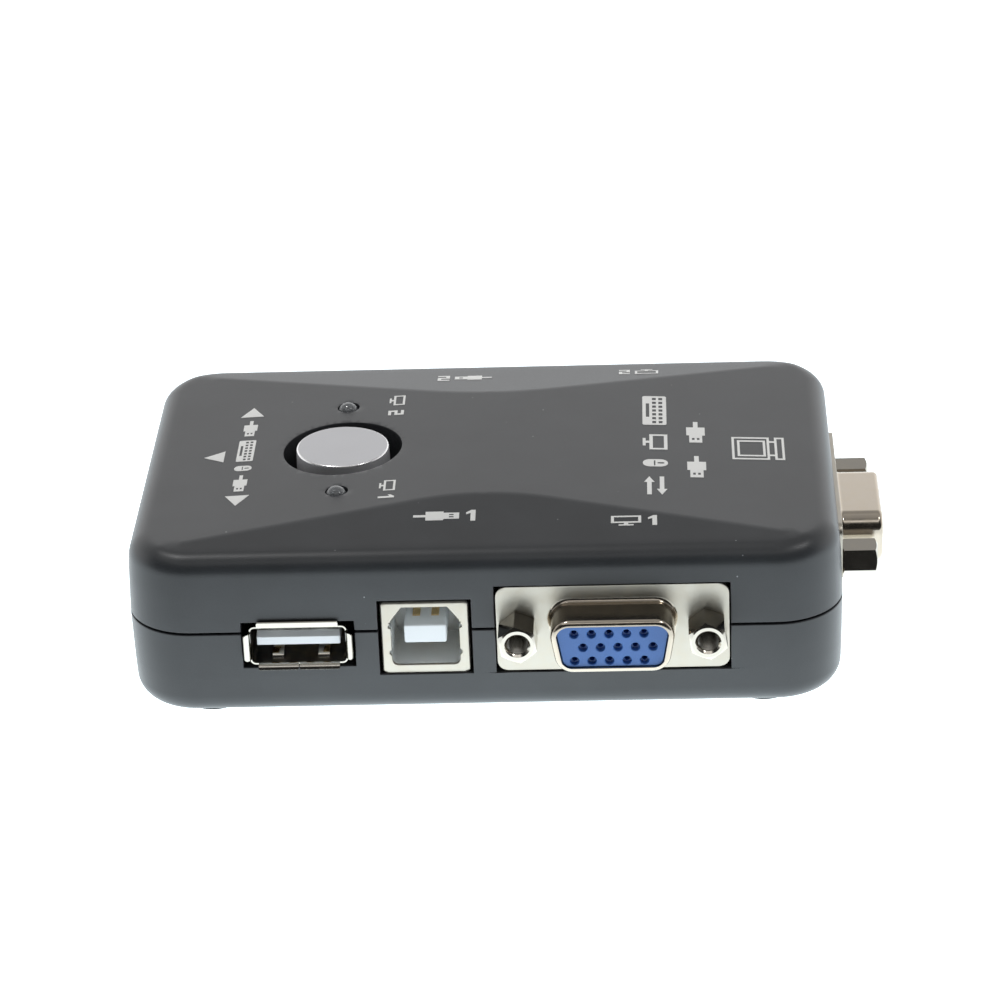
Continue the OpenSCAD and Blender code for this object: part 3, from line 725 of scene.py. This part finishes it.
def feet():
    top = FLOOR_Z + FOOT_DEEP
    profile = [(0, 0), (3.6, 0.0), (3.9, 0.08), (4.15, 0.2), (4.35, 0.42), (4.45, 0.7),
               (FOOT_R, top), (0, top)]
    for i, place in enumerate(FOOT_PLACES):
        turned(f"foot_{i + 1}", profile, place, n=64, slot="foot_rubber", material=RUBBER,
               node=None if i else "rubber_feet", sharp=50)


feet()


def return_spring():
    """Wire coil under the plunger, as tall as the CAD spring."""
    low, high = box_mm("switch_spring")
    wire = 0.17
    coil_r = 2.3
    turns = 3
    steps = turns * 32
    bm = bmesh.new()
    rows = []
    for i in range(steps + 1):
        spin = Matrix.Rotation(2 * pi * turns * i / steps, 3, "Z")
        z = low.z + wire + (high.z - low.z - 2 * wire) * i / steps
        rows.append([spin @ Vector((x, 0, z + up)) for x, up in circle(coil_r, 0, wire, 12)])
    loft(bm, rows, cap_start=True, cap_end=True)
    coil = finish_mesh("return_spring", bm, "switch_spring", "spring_steel", TURNED,
                       at(BUTTON_X, 0, 0), sharp=60)
    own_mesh(coil)


return_spring()


# ---- indicator lights

def lens_glass():
    m = new_nodes("clear_lens")
    fine = m.noise(0.9, detail=1.0)
    m.set(Base_Color=rgba(0.5, 0.52, 0.54), Transmission_Weight=0.7, IOR=1.5,
          Roughness=m.remap(fine, 0.3, 0.7, 0.08, 0.15), Normal=m.bump(fine, 0.05, 0.01))
    return m.owner


LENS = lens_glass()


def lights():
    """Clear domes, each over a small metal cup, sitting a little to the left in their holes."""
    for name, s in (("light_1_lens", -1), ("light_2_lens", 1)):
        low, high = box_mm(name)
        high.z -= 0.4
        r = 1.45
        x = BUTTON_X - 0.08
        y = s * LIGHT_Y
        dome = [(r * cos(radians(a)), high.z - r * (1 - sin(radians(a))))
                for a in range(0, 90, 9)]
        profile = [(0, low.z), (1.9, low.z), (1.9, low.z + 0.8), (r, low.z + 0.8), *dome,
                   (0, high.z)]
        turned(name.replace("_lens", "_dome"), profile, (x, y), n=48, node=name,
               slot="clear_lens", material=LENS, sharp=40)
        cup = [(0, low.z + 0.4), (0.55, low.z + 0.4), (0.7, high.z - 2.6), (0.8, high.z - 1.9),
               (0.72, high.z - 1.9), (0.35, high.z - 2.5), (0, high.z - 2.5)]
        turned(name.replace("_lens", "_cup"), cup, (x, y), n=32, slot="tinned_wire",
               material=TINNED, sharp=30)


lights()


# ---- video sockets

COLLAR = (16.25, 7.6, 2.5)
COLLAR_UP = 0.12
COLLAR_LEAN = tan(radians(10))
VGA_LIP = 5.9
LIP_R = 0.7
SCREW_X = 24.99 / 2


def d_shape(grow, y, tight=0.0, n=9):
    """The D outline, wide side up, widened by grow all round, at depth y; tight takes that
    much off its corner radius."""
    w, h, r = COLLAR
    r -= tight
    top = (w / 2 - r, h / 2 - r)
    low = (top[0] - 2 * top[1] * COLLAR_LEAN, -top[1])
    outline = (arc(*top, r + grow, 90, -10, n) + arc(*low, r + grow, -10, -90, n)
               + arc(-low[0], low[1], r + grow, 270, 190, n)
               + arc(-top[0], top[1], r + grow, 190, 90, n))
    return [(x, y, z + COLLAR_UP) for x, z in outline]


def flat_ring(outline, y):
    return [(x, y, z) for x, z in outline]


def vga_collar(name, place):
    """Flange with two screw holes, and the drawn D collar with its flared root."""
    bm = bmesh.new()
    root = [(0.6 - 0.6 * cos(radians(a)), -0.6 + 0.6 * sin(radians(a))) for a in range(90, -1, -15)]
    lip = [(-LIP_R + LIP_R * cos(radians(a)), -VGA_LIP + LIP_R - LIP_R * sin(radians(a)))
           for a in range(0, 91, 15)]
    inner = [(-LIP_R - 0.05, -VGA_LIP + 0.04), (-LIP_R - 0.09, -VGA_LIP + 0.14),
             (-LIP_R - 0.1, FLANGE_T)]
    rows = [d_shape(g, y) for g, y in root + lip]
    rows += [d_shape(g, y, tight) for (g, y), tight in zip(inner, (0.3, 0.45, 0.5))]
    d_loops = loft(bm, rows)
    edge = [(0.12, 0.0), (0.035, 0.035), (0.0, 0.12), (0.0, FLANGE_T)]
    plate = loft(bm, [flat_ring(round_rect(30.81 - 2 * k, 12.5 - 2 * k, 1.5 - k), y)
                      for k, y in edge])
    fronts = [d_loops[0]]
    backs = [d_loops[-1]]
    for s in (-1, 1):
        hole = loft(bm, [flat_ring(circle(s * SCREW_X, 0, 1.5, 32), y) for y in (0, FLANGE_T)])
        fronts.append(hole[0])
        backs.append(hole[1])
    fill(bm, plate[0], fronts)
    fill(bm, plate[-1], backs)
    for face in bm.faces:
        face.material_index = int(face.calc_center_median().y < -0.02)
    shell = finish_mesh(f"vga_{name}_shell", bm, f"vga_{name}_collar", "plated_steel", FLANGE,
                        place, sharp=32)
    shell.data.materials.append(DRAWN)


def contact_places():
    shift = (-0.45, 2.29 / 2 - 0.45, -0.45)
    return [((i - 2) * 2.29 + shift[row], (1 - row) * 1.98) for row in range(3) for i in range(5)]


def vga_insert(name, place):
    """Insulator with fifteen countersunk contact holes and a block behind the flange."""
    bm = bmesh.new()
    face = -VGA_LIP + 0.35
    nose = [(-0.93, face), (-0.87, face + 0.05), (-0.84, face + 0.2), (-0.83, face + 0.42),
            (-0.83, FLANGE_T)]
    loops = loft(bm, [d_shape(g, y, 0.55) for g, y in nose])
    block = loft(bm, [flat_ring(round_rect(19.6 - 2 * k, 9.4 - 2 * k, 1 - k, cy=-0.3), y)
                      for k, y in ((0, FLANGE_T), (0, 5.2), (0.3, 5.5))])
    fill(bm, block[0], [loops[-1]])
    bm.faces.new(block[-1])
    holes = []
    for x, z in contact_places():
        rings = [(0.68, face), (0.64, face + 0.03), (0.58, face + 0.14), (0.58, -4.82),
                 (0.36, -4.78), (0.36, -1.2)]
        bore = loft(bm, [flat_ring(circle(x, z, r, 24), y) for r, y in rings], cap_end=True)
        holes.append(bore[0])
    fill(bm, loops[0], holes)
    finish_mesh(f"vga_{name}_insulator", bm, f"vga_{name}_insert", "blue_plastic", BLUE,
                place, sharp=35)


def thread_wave(turns):
    """Thread form between 0 (root) and 1 (crest), flattened at both."""
    t = turns % 1.0
    return min(1.0, max(0.0, 1.25 - abs(2 * t - 1) * 1.5))


def vga_standoffs(name, place, spin):
    """Two hexagonal standoffs, tightened to a spin, chamfered, with a cut thread in the bore."""
    bm = bmesh.new()
    length = 4.8
    flat = 4.75 / 2
    bore_r = 1.42
    pitch = 0.635
    angles = [radians(spin + 5 * i) for i in range(72)]

    def hexagon(a):
        return flat / cos((a - radians(spin) + pi / 6) % (pi / 3) - pi / 6)

    def cone(wide, y, slope):
        """Depth of the chamfer's cone, which is wide at y, where it meets the hexagon."""
        return lambda a: y + slope * (hexagon(a) - wide)

    def loop(cx, radius, depth):
        return [(cx + valued(radius, a) * cos(a), valued(depth, a), valued(radius, a) * sin(a))
                for a in angles]

    for cx in (-SCREW_X, SCREW_X):
        rows = [loop(cx, 1.4, 3.8), loop(cx, 1.4, 0), loop(cx, 2.28, 0),
                loop(cx, hexagon, cone(2.28, 0, -0.577)),
                loop(cx, hexagon, cone(2.18, -length, 0.577)),
                loop(cx, 2.22, -length + 0.03), loop(cx, 2.17, -length),
                loop(cx, 1.72, -length), loop(cx, bore_r, -length + 0.3)]
        depth = -length + 0.34
        while depth < 2.4:
            fade = min(1.0, (depth + length - 0.3) / 0.5, (2.5 - depth) / 0.5)
            rows.append(loop(cx, lambda a, y=depth, f=fade: bore_r - 0.24 * f * thread_wave(
                y / pitch + (a - angles[0]) / (2 * pi)), depth))
            depth += 0.09
        loft(bm, rows, cap_start=True, cap_end=True)
    # Faces inside the bore take the darker, rougher metal: painted shade down the thread.
    for face in bm.faces:
        spot = face.calc_center_median()
        in_bore = hypot(abs(spot.x) - SCREW_X, spot.z) < bore_r + 0.01
        face.material_index = int(in_bore and -length + 0.5 < spot.y < 3)
    pair = finish_mesh(f"vga_{name}_hex", bm, f"vga_{name}_standoffs", "standoff_steel",
                       TURNED, place, sharp=24)
    pair.data.materials.append(SHADED_BORE)


for socket, spot, spin in (("front", at(VGA_X, -FACE_Y + 0.3, VGA_Z), 8),
                           ("back", at(VGA_X, FACE_Y - 0.3, VGA_Z, 180), 17),
                           ("end", at(FACE_X + 0.35, 0, VGA_Z, 90), -21)):
    vga_collar(socket, spot)
    vga_insert(socket, spot)
    vga_standoffs(socket, spot, spin)


# ---- square USB sockets

USB_B_MID = BOARD_Z - USB_B_Z + USB_B[1] / 2


def block(bm, low, high):
    """A closed box."""
    (x0, y0, z0), (x1, y1, z1) = low, high
    loft(bm, [[(x0, y0, z), (x1, y0, z), (x1, y1, z), (x0, y1, z)] for z in (z0, z1)],
         cap_start=True, cap_end=True)


def usb_b_mouth(grow=0.0):
    """The plug's opening: cut upper corners, round lower ones, and torn notches at the sides."""
    w, h = 9.04 / 2 + grow, 8.6 / 2 + grow
    right = [(w - 1.5, h), (w, h - 2.0), (w, 2.15), (w + 0.26, 2.05), (w + 0.12, 1.8),
             (w + 0.36, 1.6), (w + 0.34, 1.25), (w, 1.1), (w, -2.0), (w + 0.24, -2.12),
             (w + 0.3, -2.5), (w + 0.14, -2.8), (w, -2.9)]
    right += arc(w - 0.9, -h + 0.9, 0.9, 0, -90, 5)
    return right + [(-x, z) for x, z in reversed(right)]


def usb_b_shield(name, place):
    """Folded shield: the face plate is cut to the plug's shape and its lower corners are cut."""
    bm = bmesh.new()
    w, h = USB_B
    start = 0.45

    def outline(inset, cut):
        x, z = w / 2 - inset, h / 2 - inset
        r = 0.55
        pts = arc(x - r, z - r, r, 90, 0, 5) + [(x, -z + cut), (x - cut, -z)]
        pts += [(-a, b) for a, b in reversed(pts)]
        return [(a, b + USB_B_MID) for a, b in pts]

    rim = [(0.4 - 0.4 * sin(radians(a)), start + 0.4 - 0.4 * cos(radians(a)))
           for a in range(0, 91, 18)]
    outer = loft(bm, [flat_ring(outline(k, 0.5), y) for k, y in rim + [(0, 16.5)]])
    inner = loft(bm, [flat_ring(outline(0.4, 0.4), y) for y in (start + 0.4, 16.5)])
    mouth = loft(bm, [flat_ring(usb_b_mouth(g), y) for g, y in
                      ((0.06, start), (0.0, start + 0.08), (0.0, start + 0.4))])
    fill(bm, outer[0], [mouth[0]])
    fill(bm, inner[0], [mouth[-1]])
    bridge(bm, outer[-1], inner[-1])
    for s in (-1, 1):
        block(bm, (s * 5.7 - 0.18, 12, -8.4), (s * 5.7 + 0.18, 13.2, USB_B_MID - h / 2 + 0.6))
    finish_mesh(f"usb_b_{name}_can", bm, f"usb_b_{name}_shield", "plated_steel", FLANGE,
                place, sharp=35)


def usb_b_insert(name, place):
    """Housing with the plug's cavity, and the white tongue that carries the contacts."""
    bm = bmesh.new()
    w, h = USB_B[0] - 0.84, USB_B[1] - 0.84
    body = loft(bm, [flat_ring(round_rect(w, h, 0.3, 4, cy=USB_B_MID), y) for y in (0.87, 16.3)],
                cap_end=True)
    cavity = loft(bm, [flat_ring(usb_b_mouth(-0.02), y) for y in (0.87, 10)], cap_end=True)
    fill(bm, body[0], [cavity[0]])
    finish_mesh(f"usb_b_{name}_insulator", bm, f"usb_b_{name}_insert", "white_plastic", GREY,
                place, sharp=35)
    bm = bmesh.new()
    nose = [(0.22, 0.62), (0.12, 0.65), (0.03, 0.74), (0.0, 0.86), (0.0, 10.2)]
    loft(bm, [flat_ring(round_rect(5.6 - 2 * k, 2.65 - 2 * k, max(0.3 - k, 0.05), 4, cy=0.275),
                        y) for k, y in nose], cap_start=True, cap_end=True)
    finish_mesh(f"usb_b_{name}_tongue", bm, None, "white_plastic", WHITE, place, sharp=35)


for socket, spot in (("front", at(USB_B_X, -FACE_Y, USB_B_Z)),
                     ("back", at(USB_B_X, FACE_Y, USB_B_Z, 180))):
    usb_b_shield(socket, spot)
    usb_b_insert(socket, spot)


# ---- flat USB sockets

USB_A = (13.1, 5.7)
USB_A_SHEET = 0.3


def flap(bm, side, half, lo, hi, bend, angle, round_r, straight=0.0):
    """A lip bent out of the tube's edge, perhaps with a straight end; side turns it about +Y
    from the right-hand wall."""
    width = hi - lo
    marks = [width * 0.5 * (1 - cos(pi * i / 16)) for i in range(17)]
    ends = [round_r * (1 - cos(pi * i / 10)) / 2 for i in range(1, 10)]
    marks += ends + [width - end for end in ends]
    turn = Matrix.Rotation(radians(side), 3, "Y")
    rows = []
    mid_r = bend + USB_A_SHEET / 2
    for m in sorted(set(round(v, 4) for v in marks)):
        near = max(0.0, round_r - min(m, width - m))
        short = round_r - sqrt(max(0.0, round_r ** 2 - near ** 2))
        reach = radians(angle) - (0 if straight else short / mid_r)
        outer = []
        inner = []
        for k in range(9):
            a = reach * k / 8
            for r, side_points in ((bend, outer), (bend + USB_A_SHEET, inner)):
                side_points.append((bend - r * cos(a), 0.05 - r * sin(a)))
        if straight:
            long = max(0.05, straight - short)
            for side_points in (outer, inner):
                u, y = side_points[-1]
                side_points.append((u + long * sin(reach), y - long * cos(reach)))
        tip = [((outer[-1][0] + inner[-1][0]) / 2 + 0.09 * sin(reach),
                (outer[-1][1] + inner[-1][1]) / 2 - 0.09 * cos(reach))]
        path = outer + tip + inner[::-1]
        rows.append([turn @ Vector((half + u, y, lo + m)) for u, y in path])
    loft(bm, rows, cap_start=True, cap_end=True)


def spring_tab(bm, x, floor, up):
    """A springy tab pressed out of the tube's wall at floor, up times its full height."""
    path = [(9.0, -0.1), (7.0, 0.15), (4.6, 0.5), (3.2, 0.74), (2.4, 0.8), (1.8, 0.7),
            (1.35, 0.45), (1.15, 0.1), (1.1, -0.1)]
    path += [(y + 0.02, z - 0.2) for y, z in reversed(path)]
    rows = [[(x - 0.75 + 1.5 * k / 4, y, floor + up * z) for y, z in path] for k in range(5)]
    loft(bm, rows, cap_start=True, cap_end=True)


def usb_a_shield(name, place):
    bm = bmesh.new()
    w, h = USB_A
    t = USB_A_SHEET
    rows = [(w - 0.1, h - 0.1, 0.75, -0.08), (w, h, 0.8, 0.0), (w, h, 0.8, 13.5),
            (w - 2 * t, h - 2 * t, 0.5, 13.5), (w - 2 * t, h - 2 * t, 0.5, 0.0),
            (w - 2 * t + 0.1, h - 2 * t + 0.1, 0.55, -0.08)]
    loops = loft(bm, [flat_ring(round_rect(a, b, r), y) for a, b, r, y in rows])
    bridge(bm, loops[-1], loops[0])
    # The tube's inner faces take the dark plate: painted shade inside the socket.
    inner = {*loops[3], *loops[4]}
    for face in bm.faces:
        face.material_index = int(inner.issuperset(face.verts))
    flap(bm, 0, w / 2, -1.95, 1.95, 0.7, 85, 0.4)
    flap(bm, 180, w / 2, -1.95, 1.95, 0.7, 85, 0.4)
    flap(bm, -90, h / 2, -5.4, 5.4, 0.3, 86, 0.2, 0.5)
    flap(bm, 90, h / 2, -5.4, -0.06, 0.68, 72, 0.15)
    flap(bm, 90, h / 2, 0.06, 5.4, 0.68, 72, 0.15)
    for x in (-2.9, 3.2):
        spring_tab(bm, x, -h / 2 + t, 1)
        spring_tab(bm, x, h / 2 - t, -0.55)
    for s in (-1, 1):
        block(bm, (s * 6.45 - 0.15, 7.4, -7.5), (s * 6.45 + 0.15, 8.6, -1.5))
    can = finish_mesh(f"usb_a_{name}_can", bm, f"usb_a_{name}_shield", "plated_steel", NICKEL,
                      place, sharp=35)
    can.data.materials.append(INNER_SHADE)


def usb_a_tongue(name, place):
    """Tongue with a sloped upper front edge, growing from the block that closes the tube."""
    bm = bmesh.new()
    nose = [(0.2, -0.1, 0.9, 0.5), (0.06, -0.17, 0.98, 0.54), (0.0, -0.2, 1.04, 0.62),
            (0.0, -0.2, 1.6, 1.3), (0.0, -0.2, 1.6, 9.6)]
    loft(bm, [flat_ring(round_rect(11.1 - 2 * k, top - low, 0.12, 4, cy=(top + low) / 2), y)
              for k, low, top, y in nose], cap_start=True, cap_end=True)
    rear = [(0.15, 9.5), (0.0, 9.65), (0.0, 13.4)]
    loft(bm, [flat_ring(round_rect(12.4 - 2 * k, 5.04 - 2 * k, 0.45, 4), y) for k, y in rear],
         cap_start=True, cap_end=True)
    finish_mesh(f"usb_a_{name}_insulator", bm, f"usb_a_{name}_tongue", "white_plastic", WHITE,
                place, sharp=35)


for socket, spot in (("front", at(USB_A_X, -FACE_Y, USB_A_Z)),
                     ("back", at(USB_A_X, FACE_Y, USB_A_Z, 180)),
                     ("end", at(-FACE_X, 0, USB_A_Z, -90))):
    usb_a_shield(socket, spot)
    usb_a_tongue(socket, spot)


# ---- printed signs

# The signs in line with the button and the end's sockets stand this far from the middle.
PRINT_Y = -0.57


def box_sign(u0, v0, u1, v1):
    return [(u0, v0), (u1, v0), (u1, v1), (u0, v1)]


def one():
    return 0.42, [([(0.2, 0), (0.42, 0), (0.42, 1), (0.24, 1), (0.0, 0.78), (0.0, 0.6),
                    (0.2, 0.72)], [])]


def two():
    return 0.66, [([(0, 1), (0.66, 1), (0.66, 0.4), (0.2, 0.4), (0.2, 0.19), (0.66, 0.19),
                    (0.66, 0), (0, 0), (0, 0.59), (0.46, 0.59), (0.46, 0.81), (0, 0.81)], [])]


def screen():
    outer = [(0.35, 0), (1.05, 0), (1.05, 0.12), (0.8, 0.12), (0.8, 0.27), (1.4, 0.27),
             (1.4, 1), (0, 1), (0, 0.27), (0.6, 0.27), (0.6, 0.12), (0.35, 0.12)]
    return 1.4, [(outer, [box_sign(0.14, 0.41, 1.26, 0.86)])]


def keys():
    holes = [box_sign(0.16 + 0.37 * i, row, 0.38 + 0.37 * i, row + 0.16)
             for row in (0.66, 0.4) for i in range(7)]
    holes.append(box_sign(0.7, 0.14, 2.0, 0.28))
    return 2.75, [(round_rect(2.75, 0.98, 0.1, 3, 1.375, 0.49), holes)]


def mouse():
    body = round_rect(0.66, 1, 0.3, 6, 0.33, 0.5)
    return 0.66, [(body, [round_rect(0.12, 0.28, 0.055, 3, 0.33, 0.72),
                          box_sign(0.1, 0.44, 0.56, 0.5)])]


def plug():
    outer = [(0, 0.4), (0.55, 0.4), (0.55, 0.1), (1.35, 0.1), (1.35, 0.22), (2.05, 0.22),
             (2.05, 0.78), (1.35, 0.78), (1.35, 0.9), (0.55, 0.9), (0.55, 0.6), (0, 0.6)]
    return 2.05, [(outer, [box_sign(1.6, 0.34, 1.8, 0.45), box_sign(1.6, 0.55, 1.8, 0.66)])]


def swap():
    """Two arrows, pointing opposite ways."""
    upper = [(0, 0.66), (1.1, 0.66), (1.1, 0.54), (1.6, 0.75), (1.1, 0.96), (1.1, 0.84),
             (0, 0.84)]
    lower = [(1.6 - u, 1 - v) for u, v in upper]
    return 1.6, [(upper, []), (lower, [])]


def subdivided(loop, step=0.7):
    """The loop with points added so that no side is longer than step."""
    out = []
    for (x0, y0), (x1, y1) in zip(loop, loop[1:] + loop[:1]):
        n = max(1, ceil(hypot(x1 - x0, y1 - y0) / step))
        out += [(x0 + (x1 - x0) * k / n, y0 + (y1 - y0) * k / n) for k in range(n)]
    return out


def printed(bm, outer, holes=()):
    """A thin closed film of ink that follows the roof."""
    film = 0.03
    top = []
    low = []
    for loop in (outer, *holes):
        points = subdivided(loop)
        top.append(ring(bm, [(x, y, roof(x, y) + film) for x, y in points]))
        low.append(ring(bm, [(x, y, roof(x, y) - film) for x, y in points]))
        bridge(bm, top[-1], low[-1])
    fill(bm, top[0], top[1:], (0, 1))
    fill(bm, low[0], low[1:], (0, 1))


def sign_row(name, signs, start, along, height, length, stretch=1.0):
    """Signs side by side in the direction along, from the lower left corner at start."""
    wide = height * stretch
    widths = [sign()[0] * wide for sign in signs]
    space = (length - sum(widths)) / (len(signs) - 1)
    bm = bmesh.new()
    from_start = 0.0
    for sign, width in zip(signs, widths):
        def put(loop, u0=from_start):
            flat = [(u0 + u * wide, v * height) for u, v in loop]
            return [(start[0] + along[0] * u - along[1] * v,
                     start[1] + along[1] * u + along[0] * v) for u, v in flat]

        for outer, holes in sign()[1]:
            printed(bm, put(outer), [put(hole) for hole in holes])
        from_start += width + space
    finish_mesh(name, bm, material=INK)


def arrows():
    """Arrowheads left of the button: towards the back, the front and the left end."""
    bm = bmesh.new()
    x = -33.46
    for s in (-1, 1):
        base, tip = s * 12.4 + PRINT_Y, s * 15.4 + PRINT_Y
        printed(bm, [(x - 1.65, base), (x + 1.65, base), (x, tip)])
    printed(bm, [(-36.3, PRINT_Y + 1.7), (-39.15, PRINT_Y), (-36.3, PRINT_Y - 1.7)])
    finish_mesh("print_arrows", bm, material=INK)


def monitor():
    """A monitor lying on its side: two nested frames, a stand and its two struts."""
    bm = bmesh.new()
    mid = -1.4
    for u0, u1, half in ((33.6, 38.75, 3.5), (34.35, 38.2, 2.5), (39.45, 40.8, 3.5)):
        printed(bm, box_sign(u0, mid - half, u1, mid + half),
                [box_sign(u0 + 0.34, mid - half + 0.45, u1 - 0.34, mid + half - 0.45)])
    for v in (mid - 2.1, mid + 2.1):
        printed(bm, box_sign(38.75, v - 0.25, 39.45, v + 0.25))
    finish_mesh("print_monitor", bm, material=INK)


def signs():
    near, right, left = (0, -1), (1, 0), (-1, 0)
    sign_row("print_console", [plug, keys, mouse, plug], (-34.6, 11.1 + PRINT_Y), near, 2.4, 22.2)
    sign_row("print_light_2", [screen, two], (-14.2, 16.05), near, 2.2, 6.3)
    sign_row("print_light_1", [screen, one], (-14.2, -10.95), near, 2.2, 5.3)
    sign_row("print_purpose", [keys, screen, mouse, swap], (21.4, 15.5 + PRINT_Y), near, 3.4, 31.0)
    sign_row("print_plugs", [plug, plug], (27.1, 6.7), near, 3.2, 17.4)
    sign_row("print_usb_1", [plug, one], (-9.2, -22.4), right, 2.45, 8.3, 1.22)
    sign_row("print_video_1", [screen, one], (17.1, -24.2), right, 2.2, 6.1, 1.3)
    sign_row("print_usb_2", [plug, two], (-0.05, 24.35), left, 2.4, 7.75, 1.08)
    sign_row("print_video_2", [screen, two], (23.7, 25.4), left, 2.1, 5.6, 1.13)
    arrows()
    monitor()


signs()


# ---- CAD parts shown as they are

def board_laminate():
    """Green solder resist over copper tracks."""
    m = new_nodes("board_laminate")
    tracks = m.add("ShaderNodeTexBrick", Vector=m.coords, Scale=1 / (6 * MM), Mortar_Size=0.03,
                   offset=0.5).outputs["Fac"]
    base = m.mix(m.noise(2.5, 4), rgba(0.01, 0.085, 0.035), rgba(0.02, 0.14, 0.06))
    m.set(Base_Color=m.mix(tracks, base, rgba(0.05, 0.22, 0.09)),
          Roughness=m.remap(m.noise(0.4), 0.3, 0.7, 0.25, 0.4), Normal=m.bump(tracks, 0.3, 0.03))
    return m.owner


CARRIED = {
    "contact": GOLD, "bracket": FLANGE, "screws": TURNED, "leads": TINNED, "pins": TINNED,
    "legs": TINNED, "spring": TURNED, "plunger": NATURAL, "housing": BLACK, "chip": BLACK,
    "regulator": BLACK, "crystal": NICKEL, "board": board_laminate(),
    "electrolytic": plated_metal("capacitor_can", (0.7, 0.7, 0.72), rough=0.3),
    "chip_capacitors": moulded_plastic("ceramic_chip", (0.42, 0.3, 0.17), rough=0.4),
    "chip_resistors": moulded_plastic("resistor_chip", (0.03, 0.03, 0.035), rough=0.35),
}


def dress_cad_parts():
    for name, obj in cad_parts.items():
        for key in sorted(CARRIED, key=len, reverse=True):
            if key in name:
                obj.data.materials.clear()
                obj.data.materials.append(CARRIED[key])
                break


dress_cad_parts()


# ---- camera, light and floor

def camera():
    """The viewpoint: in front, above, and a little to the right of the button."""
    data = bpy.data.cameras.new("camera")
    data.sensor_width = 36
    data.lens = 141.84
    data.clip_end = 20
    obj = linked("camera", data)
    obj.location = TO_FRAME @ Vector((24.315, -488.359, 260.781))
    obj.rotation_euler = [radians(a) for a in (63.51246, 2.13092, 1.61845)]
    bpy.context.scene.camera = obj


def soft_light(name, place, size, power):
    """A square light that looks at the middle of the floor."""
    data = bpy.data.lights.new(name, "AREA")
    data.size = size
    data.energy = power
    obj = linked(name, data)
    obj.location = place
    obj.rotation_euler = (-Vector(place)).to_track_quat("-Z", "Y").to_euler()


def floor():
    bm = bmesh.new()
    bmesh.ops.create_grid(bm, x_segments=8, y_segments=8, size=6.0)
    mesh = bpy.data.meshes.new("floor")
    bm.to_mesh(mesh)
    bm.free()
    m = new_nodes("floor_white")
    tone = m.mix(m.noise(120.0, 2), rgba(0.88, 0.91, 0.94), rgba(0.9, 0.93, 0.96))
    # Painted light: the floor glows, at 2.05 within 45 mm of its middle, falling to 1.1 beyond 85
    # mm.
    position = m.add("ShaderNodeNewGeometry").outputs["Position"]
    away = m.add("ShaderNodeVectorMath", Vector=position, operation="LENGTH")
    glow = m.remap(away.outputs["Value"], 0.045, 0.085, 2.05, 1.1)
    m.set(Base_Color=tone, Roughness=0.9, Specular_IOR_Level=0.1,
          Emission_Color=rgba(0.86, 0.96, 1.0), Emission_Strength=glow)
    mesh.materials.append(m.owner)
    linked("floor", mesh)


# Light from the sky at the sine of its height, on each side of the object.
SKY_LEVEL = 1.4
BACK_SKY = [(0.0, 1.0), (0.22, 1.0), (0.45, 0.82), (0.66, 0.36), (0.85, 0.3), (0.95, 0.42),
            (1.0, 0.36)]
FRONT_SKY = [(0.0, 0.1), (0.2, 0.02), (0.7, 0.02), (0.78, 0.25), (0.82, 1.0), (0.87, 1.0),
             (0.91, 0.25), (0.95, 0.15), (1.0, 0.3)]


def studio():
    """White sweep behind, dimmer ceiling, dark room on the camera's side."""
    world = bpy.data.worlds.new("studio")
    bpy.context.scene.world = world
    w = Nodes(world, "Background", "Generated")
    _, depth, height = w.add("ShaderNodeSeparateXYZ", Vector=w.coords).outputs
    behind = w.remap(depth, -0.35, 0.25, 0, 1)
    sky = w.mix(behind, w.ramp(height, FRONT_SKY), w.ramp(height, BACK_SKY))
    w.set(Color=sky, Strength=SKY_LEVEL)


camera()
floor()
studio()
soft_light("key", (-0.25, 0.1, 0.9), 0.12, 1.2)
soft_light("fill", (0.45, -0.15, 0.8), 0.1, 0.8)
bpy.context.scene.view_settings.view_transform = "Standard"
